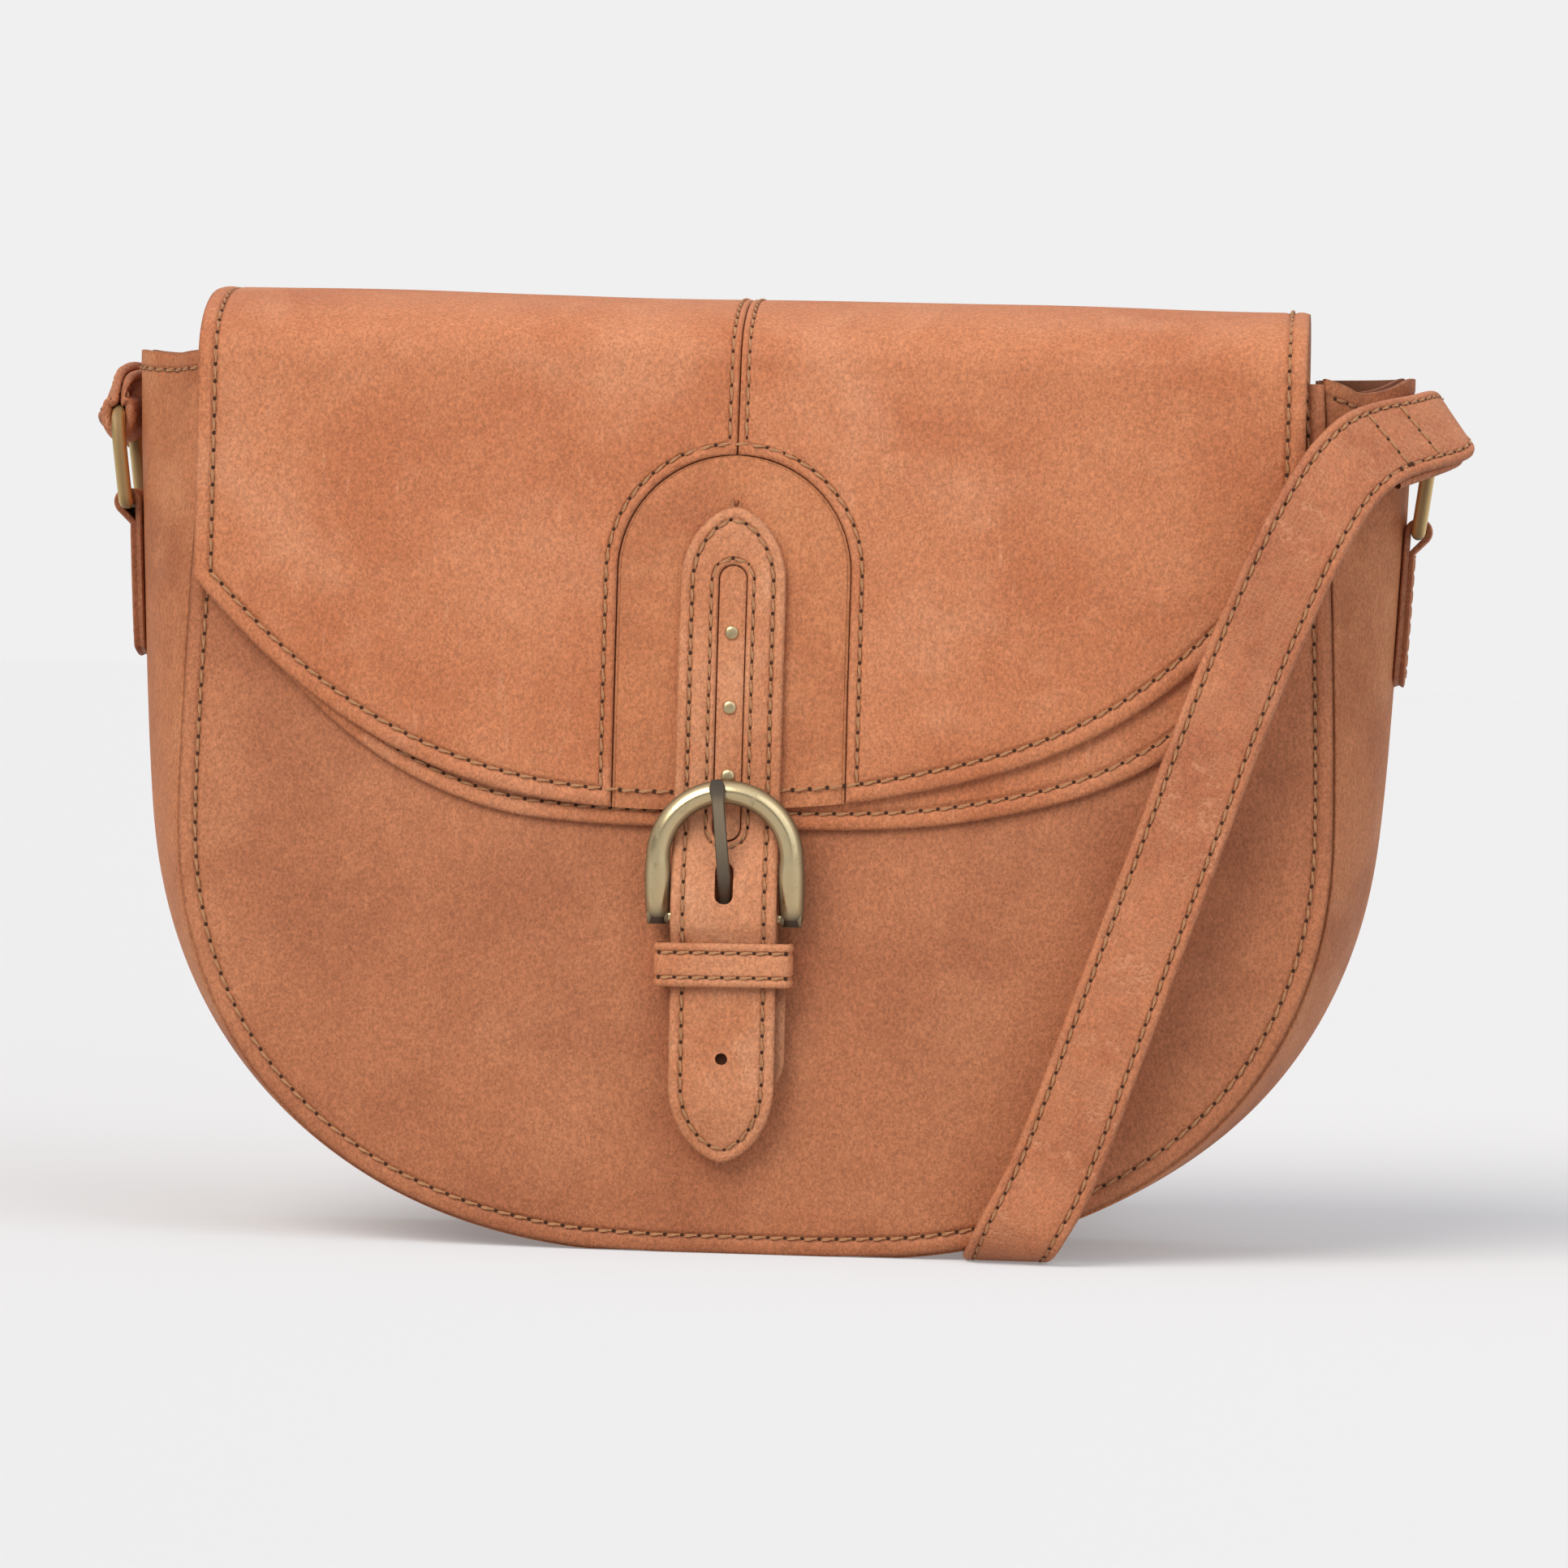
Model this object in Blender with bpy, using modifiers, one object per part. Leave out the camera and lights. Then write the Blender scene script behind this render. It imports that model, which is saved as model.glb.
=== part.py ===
"""A saddle-shaped leather crossbody bag with a flap, a buckled closure strap and a shoulder strap.

Metres, +Z up. The origin is on the floor at the middle of the bag's base, +X runs to the right
as the wearer of the photo's view sees it, and the front faces -Y.
"""

import math

import bmesh
import bpy
from mathutils import Matrix, Vector

# Body
BODY_WIDTH = 0.282
MOUTH_WIDTH = 0.272
BASE_FLAT = 0.040
WIDEST_HEIGHT = 0.105
PANEL_HEIGHT = 0.215
BODY_DEPTH = 0.082
OUTLINE_POWER_SHARE = 2.2
MOUTH_TAPER_POWER_SHARE = 1.5
PANEL_THICKNESS = 0.0022
FRONT_CROWN = 0.008
BACK_CROWN = 0.004
CROWN_POWER_SHARE = 2.2
SEAT_GAP = 0.0003
LOWER_ROWS = 12
UPPER_ROWS = 5

# Gusset and linings
GUSSET_THICKNESS = 0.0016
GUSSET_FLANGE = 0.008
GUSSET_BULGE = 0.0215
GUSSET_HEM_RISE = 0.003
BELLOWS_POWER_SHARE = 2.3
LINING_THICKNESS = 0.0008

# Flap and its inner leaf
FLAP_WIDTH = 0.270
FLAP_THICKNESS = 0.0020
FLAP_LIFT = 0.0043
FLAP_SHIFT = -0.0052
FLAP_SET = 0.0022
FLAP_EDGE_HEIGHT = 0.1087
FLAP_EDGE_RISE = 0.061
FLAP_EDGE_POWER_SHARE = 2.65
FLAP_SKEW_SHARE = 0.04
FOLD_DROP = 0.001
ARCH_RISE = 0.0155
ARCH_POWER_SHARE = 2.4
TAIL_HEIGHT = 0.028
TAIL_THICKNESS = 0.004
LEAF_WIDTH = 0.264
LEAF_THICKNESS = 0.0014
LEAF_LIFT = 0.0020
LEAF_EDGE_HEIGHT = 0.104
LEAF_EDGE_RISE = 0.050
LEAF_EDGE_POWER_SHARE = 3.4
CUTOUT_WIDTH = 0.057
CUTOUT_TOP = 0.1947
INLAY_THICKNESS = 0.0010

# Buckle: its bar's height sets the places of the strap, chape, keeper and snap
BAR_HEIGHT = 0.0825
BAR_RADIUS = 0.0015
BAR_PLAY = 0.0002
FRAME_WIDTH = 0.038
FRAME_RISE = 0.0333
FRAME_WIRE = 0.0056
FRAME_LEG_END_SHARE = 0.72
PRONG_WIDTH = 0.0033
PRONG_THICKNESS = 0.0018
PRONG_WALL = 0.0012
PRONG_HOLE_RISE = 0.0136
STRAP_FALL_RISE = 0.0129
PRONG_HOLE_PLAY = 0.0006

# Closure strap, chape and keeper
STRAP_WIDTH = 0.0257
STRAP_THICKNESS = 0.0024
STRAP_TOP = 0.182
STRAP_POINT = 0.019
POINT_POWER_SHARE = 2.1
POINT_ROUND_SHARE = 0.6
SLOT_TOP = 0.169
SLOT_FOOT_RISE = 0.0185
SLOT_WIDTH = 0.0079
SLOT_INLAY_THICKNESS = 0.0016
RIVET_RISES = (0.0505, 0.0324, 0.0158)
RIVET_RADIUS = 0.0015
RIVET_CROWN = 0.0008
CHAPE_LENGTH = 0.0435
CHAPE_THICKNESS = 0.0024
CHAPE_CORNER = 0.009
CHAPE_SET = 0.0022
CHAPE_LOOP_WALL = 0.00115
TIP_LENGTH = 0.0162
SPARE_HOLE_RISE = 0.0254
SPARE_HOLE_RADIUS = 0.0015
KEEPER_WIDTH = 0.0334
KEEPER_HEIGHT = 0.0108
KEEPER_DROP = 0.0060
KEEPER_WALL = 0.0012
KEEPER_ROUND = 0.0022
KEEPER_SLACK = 0.0009
SNAP_RISE = 0.0140
SNAP_RADIUS = 0.007
SNAP_DISC = 0.0009

# Rings and tabs
RING_BAR_DROP = 0.035
RING_WIDTH = 0.0305
RING_RISE = 0.0225
RING_WIRE = 0.0035
RING_LEAN_SHARE = 0.13
RING_BOW_POWER_SHARE = 0.36
TAB_LENGTH = 0.038
TAB_WIDTH = 0.021
TAB_THICKNESS = 0.003
TAB_LOOP_WALL = 0.0015

# Shoulder strap
SHOULDER_WIDTH = 0.0214
SHOULDER_THICKNESS = 0.0022
FRONT_STAND_OFF = 0.0095
STACK_LENGTH = 0.095
STACK_BEND = 0.003
STACK_LAYERS = 4

CUT_OVERRUN = 0.010


def clear_scene():
    for obj in list(bpy.data.objects):
        bpy.data.objects.remove(obj, do_unlink=True)


clear_scene()
parts = bpy.data.collections.new("leather_crossbody_bag")
cutters = bpy.data.collections.new("cutters")
bpy.context.scene.collection.children.link(parts)
bpy.context.scene.collection.children.link(cutters)


# Materials

def principled(name, colour, roughness, metallic=0.0):
    mat = bpy.data.materials.new(name)
    mat.use_nodes = True
    shader = mat.node_tree.nodes["Principled BSDF"]
    shader.inputs["Base Color"].default_value = (*colour, 1.0)
    shader.inputs["Roughness"].default_value = roughness
    shader.inputs["Metallic"].default_value = metallic
    return mat


BODY_TAN = (0.48, 0.19, 0.09)
FLAP_TAN = (0.62, 0.26, 0.13)
STRAP_TAN = (0.53, 0.22, 0.11)
LINING_SAND = (0.42, 0.30, 0.19)
BRASS = (0.62, 0.50, 0.28)


def leather(name, colour):
    return principled(name + "_leather", colour, 0.62)


def brass(name):
    return principled(name + "_brass", BRASS, 0.34, 1.0)


# Objects, solids and cuts

def add_object(name, bm, mat, collection=parts):
    mesh = bpy.data.meshes.new(name)
    bm.to_mesh(mesh)
    bm.free()
    obj = bpy.data.objects.new(name, mesh)
    if mat:
        mesh.materials.append(mat)
    collection.objects.link(obj)
    mesh.shade_smooth()
    mesh.set_sharp_from_angle(angle=math.radians(40))
    return obj


def thicken(obj, thickness, offset):
    wall = obj.modifiers.new("Solidify", "SOLIDIFY")
    wall.thickness = thickness
    wall.offset = offset
    wall.use_even_offset = True


def as_cutter(name, bm):
    obj = add_object(name, bm, None, cutters)
    obj.hide_render = True
    obj.display_type = "WIRE"
    return obj


def boolean(obj, other, operation="DIFFERENCE"):
    step = obj.modifiers.new(operation.title(), "BOOLEAN")
    step.operation = operation
    step.solver = "EXACT"
    step.object = other


def curve_to_mesh(curve_obj, name, mat):
    bpy.context.view_layer.update()
    evaluated = curve_obj.evaluated_get(bpy.context.evaluated_depsgraph_get())
    mesh = bpy.data.meshes.new_from_object(evaluated)
    bm = bmesh.new()
    bm.from_mesh(mesh)
    bmesh.ops.remove_doubles(bm, verts=bm.verts, dist=WELD)
    bm.transform(curve_obj.matrix_world)
    bpy.data.objects.remove(curve_obj, do_unlink=True)
    return add_object(name, bm, mat)


WELD = 0.000001


def empty(name, place):
    obj = bpy.data.objects.new(name, None)
    obj.location = place
    parts.objects.link(obj)
    return obj


def ride_on(obj, pivot):
    """Parent a moving piece to the empty on its joint's axis, without moving it."""
    bpy.context.view_layer.update()
    obj.parent = pivot
    obj.matrix_parent_inverse = pivot.matrix_world.inverted()


def cylinder(centre, direction, radius, length, sides=24):
    bm = bmesh.new()
    bmesh.ops.create_cone(
        bm, cap_ends=True, segments=sides, radius1=radius, radius2=radius, depth=length
    )
    turn = Vector((0, 0, 1)).rotation_difference(Vector(direction)).to_matrix().to_4x4()
    bm.transform(Matrix.Translation(centre) @ turn)
    return bm


def box(low, high):
    bm = bmesh.new()
    bmesh.ops.create_cube(bm, size=1)
    low, high = Vector(low), Vector(high)
    for vert in bm.verts:
        for axis in range(3):
            vert.co[axis] = low[axis] if vert.co[axis] < 0 else high[axis]
    return bm


def eased(knots, at):
    """A smooth curve through (position, value) knots that never overshoots them."""
    if at <= knots[0][0]:
        return knots[0][1]
    if at >= knots[-1][0]:
        return knots[-1][1]
    index = max(i for i in range(len(knots) - 1) if knots[i][0] <= at)

    def rate(i):
        return (knots[i + 1][1] - knots[i][1]) / (knots[i + 1][0] - knots[i][0])

    def slope(i):
        if i == 0 or i == len(knots) - 1 or rate(i - 1) * rate(i) <= 0:
            return 0
        return 2 * rate(i - 1) * rate(i) / (rate(i - 1) + rate(i))

    (x0, y0), (x1, y1) = knots[index], knots[index + 1]
    span = x1 - x0
    t = (at - x0) / span
    return (
        y0 * (2 * t**3 - 3 * t**2 + 1)
        + slope(index) * span * (t**3 - 2 * t**2 + t)
        + y1 * (3 * t**2 - 2 * t**3)
        + slope(index + 1) * span * (t**3 - t**2)
    )


# The body's outline and its crowned faces

def half_width(z):
    """Half width of the D-shaped body at height z."""
    widest = BODY_WIDTH / 2
    flat = BASE_FLAT / 2
    if z <= WIDEST_HEIGHT:
        power = OUTLINE_POWER_SHARE
        fall = max(1 - z / WIDEST_HEIGHT, 0)
        return flat + (widest - flat) * max(1 - fall**power, 0) ** (1 / power)
    climb = (z - WIDEST_HEIGHT) / (PANEL_HEIGHT - WIDEST_HEIGHT)
    return widest - (widest - MOUTH_WIDTH / 2) * climb**MOUTH_TAPER_POWER_SHARE


def outline_heights():
    """Heights of the outline's rows, close together where it turns under the bag."""
    power = 2 / OUTLINE_POWER_SHARE
    lower = [
        WIDEST_HEIGHT * (1 - math.cos(math.pi / 2 * row / LOWER_ROWS) ** power)
        for row in range(LOWER_ROWS)
    ]
    climb = (PANEL_HEIGHT - WIDEST_HEIGHT) / UPPER_ROWS
    return lower + [WIDEST_HEIGHT + climb * row for row in range(UPPER_ROWS + 1)]


def outline_rows(inset=0.0):
    """(half width, height) up the right side, moved inwards along the outline's normals."""
    points = [(half_width(z), z) for z in outline_heights()]
    rows = []
    for index, (x, z) in enumerate(points):
        if index == 0:
            normal = (0.0, -1.0)
        elif index == len(points) - 1:
            normal = (1.0, 0.0)
        else:
            (xa, za), (xb, zb) = points[index - 1], points[index + 1]
            length = math.hypot(xb - xa, zb - za)
            normal = ((zb - za) / length, -(xb - xa) / length)
        rows.append((x - normal[0] * inset, z - normal[1] * inset))
    return rows


def dome(x, z):
    """Share of the crown at a point of a panel: 1 in the middle, 0 all round the edge."""
    mid = PANEL_HEIGHT / 2
    across = min(abs(x) / half_width(max(z, 0)), 1)
    up = min(abs(z - mid) / mid, 1)
    return (1 - across**CROWN_POWER_SHARE) * (1 - up**CROWN_POWER_SHARE)


def front_y(x, z, lift):
    """Y of a layer that lies a given lift in front of the front panel."""
    return -(BODY_DEPTH / 2 + FRONT_CROWN * dome(x, z) + lift)


def panel(name, side, inset, stand_off, crown, thickness, columns, mat):
    rows = outline_rows(inset)
    last = len(rows) - 1
    bm = bmesh.new()
    bmesh.ops.create_grid(bm, x_segments=columns, y_segments=last, size=1)
    for vert in bm.verts:
        half, z = rows[round((vert.co.y + 1) / 2 * last)]
        x = vert.co.x * half
        vert.co = (x, side * (BODY_DEPTH / 2 + crown * dome(x, z) - stand_off), z)
    obj = add_object(name, bm, mat)
    thicken(obj, thickness, side)
    return obj


lining_set_back = PANEL_THICKNESS + SEAT_GAP
lining_inset = GUSSET_FLANGE + 2 * SEAT_GAP
panel("front_panel", -1, 0, 0, FRONT_CROWN, PANEL_THICKNESS, 12, leather("front_panel", BODY_TAN))
panel("back_panel", 1, 0, 0, BACK_CROWN, PANEL_THICKNESS, 10, leather("back_panel", BODY_TAN))
panel("front_lining", -1, lining_inset, lining_set_back, FRONT_CROWN, LINING_THICKNESS, 8,
      principled("front_lining_cloth", LINING_SAND, 0.9))
panel("back_lining", 1, lining_inset, lining_set_back, BACK_CROWN, LINING_THICKNESS, 8,
      principled("back_lining_cloth", LINING_SAND, 0.9))


# Gusset: a bellows strip round the outline, with a flange behind each panel's edge

def bulge(z):
    """How far the bellows' crease stands out of the outline at height z."""
    return GUSSET_BULGE * min(max(z, 0) / PANEL_HEIGHT, 1)


def gusset_path():
    """((x, z), outward normal) from the left mouth corner under the bag to the right one."""
    outer = outline_rows()
    inner = outline_rows(PANEL_THICKNESS)
    side = []
    for (x, z), (xi, zi) in zip(outer, inner):
        normal = ((x - xi) / PANEL_THICKNESS, (z - zi) / PANEL_THICKNESS)
        side.append((x, z, *normal))
    top = side[-1]
    side.append((top[0], PANEL_HEIGHT + GUSSET_HEM_RISE, top[2], top[3]))
    left = [(-x, z, -nx, nz) for x, z, nx, nz in reversed(side)]
    return left + side


def bellows_share(y, reach):
    return 1 - (abs(y) / reach) ** BELLOWS_POWER_SHARE


def gusset_strip(name, section, thickness, mat):
    """A strip along the outline. The section lists (y, share of the bulge, inset)."""
    path = gusset_path()
    bm = bmesh.new()
    bmesh.ops.create_grid(bm, x_segments=len(path) - 1, y_segments=len(section) - 1, size=1)
    for vert in bm.verts:
        x, z, nx, nz = path[round((vert.co.x + 1) / 2 * (len(path) - 1))]
        y, share, inset = section[round((vert.co.y + 1) / 2 * (len(section) - 1))]
        out = bulge(z) * share - inset
        vert.co = (x + nx * out, y, z + nz * out)
    bmesh.ops.recalc_face_normals(bm, faces=bm.faces)
    obj = add_object(name, bm, mat)
    thicken(obj, thickness, 0)
    return obj


half_gusset = GUSSET_THICKNESS / 2
flange_y = BODY_DEPTH / 2 - PANEL_THICKNESS - SEAT_GAP - half_gusset
web_shares = (-1, -0.82, -0.6, -0.3, 0, 0.3, 0.6, 0.82, 1)
gusset_section = (
    [(-flange_y, 0, GUSSET_FLANGE)]
    + [(share * flange_y, bellows_share(share, 1), half_gusset) for share in web_shares]
    + [(flange_y, 0, GUSSET_FLANGE)]
)
gusset_strip("gusset", gusset_section, GUSSET_THICKNESS, leather("gusset", BODY_TAN))

lining_y = flange_y - half_gusset - SEAT_GAP - LINING_THICKNESS / 2
lining_depth = GUSSET_THICKNESS + SEAT_GAP + LINING_THICKNESS / 2
lining_ease = GUSSET_THICKNESS
lining_shares = (-1, -0.6, -0.3, 0, 0.3, 0.6, 1)
lining_section = [
    (share * lining_y, bellows_share(share * lining_y, flange_y),
     lining_depth + lining_ease * share**2)
    for share in lining_shares
]
gusset_strip("gusset_lining", lining_section, LINING_THICKNESS,
             principled("gusset_lining_cloth", LINING_SAND, 0.9))


# Flap: over the mouth from the hinge line at the back and down the front

fold_height = PANEL_HEIGHT - FOLD_DROP
flap_hinge_y = BODY_DEPTH / 2 + FLAP_LIFT + SEAT_GAP / 2
ARCH_STEPS = 10
FRONT_STEPS = 9


def flap_edge(x):
    """Height of the flap's lower edge: a soft curve, drawn up a little to the right."""
    across = x - FLAP_SHIFT
    rise = FLAP_EDGE_RISE * abs(across / (FLAP_WIDTH / 2)) ** FLAP_EDGE_POWER_SHARE
    return FLAP_EDGE_HEIGHT + rise + FLAP_SKEW_SHARE * across


def leaf_edge(x):
    across = abs((x - FLAP_SHIFT) / (LEAF_WIDTH / 2))
    return LEAF_EDGE_HEIGHT + LEAF_EDGE_RISE * across**LEAF_EDGE_POWER_SHARE


def over_mouth(turn, lift):
    """(y, z) on the arch over the mouth; the turn runs from the back (0) to the front (pi)."""
    power = 2 / ARCH_POWER_SHARE
    along, up = math.cos(turn), math.sin(turn)
    y = (BODY_DEPTH / 2 + lift) * math.copysign(abs(along) ** power, along)
    return y, fold_height + (ARCH_RISE + lift) * max(up, 0) ** power


def flap_sheet(name, left, right, lift, edge, columns, thickness, mat):
    steps = ARCH_STEPS + FRONT_STEPS
    bm = bmesh.new()
    bmesh.ops.create_grid(bm, x_segments=columns, y_segments=steps, size=1)
    for vert in bm.verts:
        x = left + (right - left) * (vert.co.x + 1) / 2
        step = round((vert.co.y + 1) / 2 * steps)
        if step <= ARCH_STEPS:
            y, z = over_mouth(math.pi * step / ARCH_STEPS, lift)
        else:
            z = fold_height + (edge(x) - fold_height) * (step - ARCH_STEPS) / FRONT_STEPS
            y = front_y(x, z, lift)
        vert.co = (x, y, z)
    obj = add_object(name, bm, mat)
    thicken(obj, thickness, 1)
    return obj


def arch_prism(name, width, top, bottom, near, far):
    """A round-topped block along Y that cuts the arch or the slot."""
    radius = width / 2
    block = box((FLAP_SHIFT - radius, near, bottom), (FLAP_SHIFT + radius, far, top - radius))
    body = as_cutter(name, block)
    cap = as_cutter(
        name + "_round",
        cylinder((FLAP_SHIFT, (near + far) / 2, top - radius), (0, 1, 0), radius, far - near, 32),
    )
    boolean(body, cap, "UNION")
    return body


closure_near = front_y(0, PANEL_HEIGHT / 2, FLAP_LIFT + CUT_OVERRUN)
closure_far = -BODY_DEPTH / 2 + CUT_OVERRUN
arch_cutter = arch_prism(
    "arch_cutter", CUTOUT_WIDTH, CUTOUT_TOP, FLAP_EDGE_HEIGHT - CUT_OVERRUN,
    closure_near, closure_far,
)
flap_middle = FLAP_SHIFT + FLAP_SET
flap_left_edge = flap_middle - FLAP_WIDTH / 2
flap_right_edge = flap_middle + FLAP_WIDTH / 2
seam = SEAT_GAP / 2
flap_left = flap_sheet("flap_left", flap_left_edge, FLAP_SHIFT - seam, FLAP_LIFT, flap_edge, 8,
                       FLAP_THICKNESS, leather("flap_left", FLAP_TAN))
flap_right = flap_sheet("flap_right", FLAP_SHIFT + seam, flap_right_edge, FLAP_LIFT, flap_edge, 8,
                        FLAP_THICKNESS, leather("flap_right", FLAP_TAN))
boolean(flap_left, arch_cutter)
boolean(flap_right, arch_cutter)
inner_leaf = flap_sheet("inner_leaf", flap_middle - LEAF_WIDTH / 2, flap_middle + LEAF_WIDTH / 2,
                        LEAF_LIFT, leaf_edge, 12, LEAF_THICKNESS, leather("inner_leaf", FLAP_TAN))


def upright_sheet(name, heights, half_at, lift_at, thickness, columns, mat, foot=None):
    """A strip in front of the panel, by half width and outer lift at each height."""
    last = len(heights) - 1
    bm = bmesh.new()
    bmesh.ops.create_grid(bm, x_segments=columns, y_segments=last, size=1)
    for vert in bm.verts:
        row = round((vert.co.y + 1) / 2 * last)
        z = heights[row]
        x = FLAP_SHIFT + vert.co.x * half_at(z)
        if foot and row == 0:
            z = foot(x)
        vert.co = (x, front_y(0, z, lift_at(z)), z)
    obj = add_object(name, bm, mat)
    thicken(obj, thickness, -1)
    return obj


inlay_radius = CUTOUT_WIDTH / 2 - SEAT_GAP
arch_spring = CUTOUT_TOP - CUTOUT_WIDTH / 2


def inlay_half(z):
    above = min(max(z - arch_spring, 0), inlay_radius)
    return max(math.sqrt(inlay_radius**2 - above**2), inlay_radius * TIP_SHARE)


TIP_SHARE = 0.06
ROUND_STEPS = 8
inlay_lift = LEAF_LIFT + SEAT_GAP + INLAY_THICKNESS
inlay_heights = [
    FLAP_EDGE_HEIGHT + (arch_spring - FLAP_EDGE_HEIGHT) * step / FRONT_STEPS
    for step in range(FRONT_STEPS)
] + [
    arch_spring + inlay_radius * math.sin(math.pi / 2 * step / ROUND_STEPS)
    for step in range(ROUND_STEPS + 1)
]
arch_inlay = upright_sheet("arch_inlay", inlay_heights, inlay_half, lambda z: inlay_lift,
                           INLAY_THICKNESS, 4, leather("arch_inlay", FLAP_TAN), flap_edge)

tail_top = fold_height - SEAT_GAP - FLAP_THICKNESS / 4
flap_tail_mesh = box(
    (flap_left_edge, BODY_DEPTH / 2 + SEAT_GAP, tail_top - TAIL_HEIGHT),
    (flap_right_edge, BODY_DEPTH / 2 + SEAT_GAP + TAIL_THICKNESS, tail_top),
)
bmesh.ops.subdivide_edges(
    flap_tail_mesh,
    edges=[e for e in flap_tail_mesh.edges if abs((e.verts[0].co - e.verts[1].co).x) > TAIL_HEIGHT],
    cuts=11,
    use_grid_fill=True,
)
for vert in flap_tail_mesh.verts:
    vert.co.y += BACK_CROWN * dome(vert.co.x, vert.co.z)
add_object("flap_tail", flap_tail_mesh, leather("flap_tail", FLAP_TAN))


# Closure strap: it rises over the buckle's bar and lies down again in the keeper

frame_top = BAR_HEIGHT + FRAME_RISE
prong_hole_top = BAR_HEIGHT + PRONG_HOLE_RISE
slot_bottom = BAR_HEIGHT + SLOT_FOOT_RISE
keeper_top = BAR_HEIGHT - KEEPER_DROP
chape_bottom = BAR_HEIGHT - CHAPE_LENGTH
strap_tip = chape_bottom - TIP_LENGTH
spare_hole_height = strap_tip + SPARE_HOLE_RISE
snap_height = chape_bottom + SNAP_RISE

strap_rest = inlay_lift + SEAT_GAP
chape_back = 3 * SEAT_GAP + 2 * SNAP_DISC
chape_front = chape_back + CHAPE_THICKNESS
bar_lift = chape_back + CHAPE_LOOP_WALL + BAR_PLAY + BAR_RADIUS
loop_radius = BAR_RADIUS + BAR_PLAY + CHAPE_LOOP_WALL
strap_over_bar = bar_lift + loop_radius + SEAT_GAP
strap_in_keeper = chape_front + SEAT_GAP
strap_knots = (
    (strap_tip, strap_in_keeper * 0.55),
    (chape_bottom, strap_in_keeper),
    (keeper_top - KEEPER_HEIGHT, strap_in_keeper),
    (keeper_top, strap_in_keeper + KEEPER_SLACK),
    (BAR_HEIGHT - 0.6 * loop_radius, strap_over_bar - 0.1 * loop_radius),
    (BAR_HEIGHT + loop_radius, strap_over_bar),
    (BAR_HEIGHT + STRAP_FALL_RISE, strap_over_bar - 0.6 * loop_radius),
    (frame_top - 1.6 * FRAME_WIRE, strap_rest),
    (STRAP_TOP, strap_rest),
)


def strap_inner(z):
    return eased(strap_knots, z)


def strap_half(z):
    """Half width of the strap: two pointed ends with bowed sides."""
    into_point = max(strap_tip + STRAP_POINT - z, z - STRAP_TOP + STRAP_POINT, 0)
    share = (1 - min(into_point / STRAP_POINT, 1) ** POINT_POWER_SHARE) ** POINT_ROUND_SHARE
    return STRAP_WIDTH / 2 * max(share, TIP_SHARE)


point_shares = (0, 0.03, 0.1, 0.25, 0.5, 0.75)
strap_heights = (
    [strap_tip + STRAP_POINT * share for share in point_shares]
    + [strap_tip + STRAP_POINT + (keeper_top - strap_tip - STRAP_POINT) * n / 5 for n in range(5)]
    + [keeper_top + (frame_top - keeper_top) * n / 16 for n in range(16)]
    + [frame_top + (STRAP_TOP - STRAP_POINT - frame_top) * n / 5 for n in range(6)]
    + [STRAP_TOP - STRAP_POINT * share for share in reversed(point_shares)]
)
closure_strap = upright_sheet(
    "closure_strap", strap_heights, strap_half, lambda z: strap_inner(z) + STRAP_THICKNESS,
    STRAP_THICKNESS, 4, leather("closure_strap", STRAP_TAN),
)


def rounded_slot(name, top, bottom, width):
    near = front_y(0, bottom, strap_over_bar + CUT_OVERRUN)
    slot = arch_prism(name, width, top, bottom + width / 2, near, closure_far)
    foot = as_cutter(
        name + "_foot",
        cylinder((FLAP_SHIFT, (near + closure_far) / 2, bottom + width / 2), (0, 1, 0),
                 width / 2, closure_far - near, 32),
    )
    boolean(slot, foot, "UNION")
    return slot


boolean(closure_strap, rounded_slot("slot_cutter", SLOT_TOP, slot_bottom, SLOT_WIDTH))
prong_hole_width = PRONG_WIDTH + 2 * PRONG_HOLE_PLAY
prong_hole_bottom = BAR_HEIGHT + 0.3 * BAR_RADIUS
boolean(
    closure_strap,
    rounded_slot("prong_hole_cutter", prong_hole_top, prong_hole_bottom, prong_hole_width),
)
spare_hole = as_cutter(
    "spare_hole_cutter",
    cylinder((FLAP_SHIFT, front_y(0, spare_hole_height, strap_in_keeper), spare_hole_height),
             (0, 1, 0), SPARE_HOLE_RADIUS, CUT_OVERRUN, 16),
)
boolean(closure_strap, spare_hole)

slot_inlay_radius = SLOT_WIDTH / 2 - SEAT_GAP
slot_low = slot_bottom + SLOT_WIDTH / 2
slot_high = SLOT_TOP - SLOT_WIDTH / 2


def slot_inlay_half(z):
    past = min(max(z - slot_high, slot_low - z, 0), slot_inlay_radius)
    return max(math.sqrt(slot_inlay_radius**2 - past**2), slot_inlay_radius * TIP_SHARE)


cap_shares = [math.sin(math.pi / 2 * step / 4) for step in range(5)]
slot_heights = (
    [slot_low - (slot_inlay_radius - 0.7 * SLOT_INLAY_THICKNESS) * share
     for share in reversed(cap_shares)]
    + [slot_low + (slot_high - slot_low) * n / 14 for n in range(1, 14)]
    + [slot_high + slot_inlay_radius * share for share in cap_shares]
)
slot_inlay = upright_sheet(
    "slot_inlay", slot_heights, slot_inlay_half, lambda z: strap_inner(z) + SLOT_INLAY_THICKNESS,
    SLOT_INLAY_THICKNESS, 2, leather("slot_inlay", STRAP_TAN),
)

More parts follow.
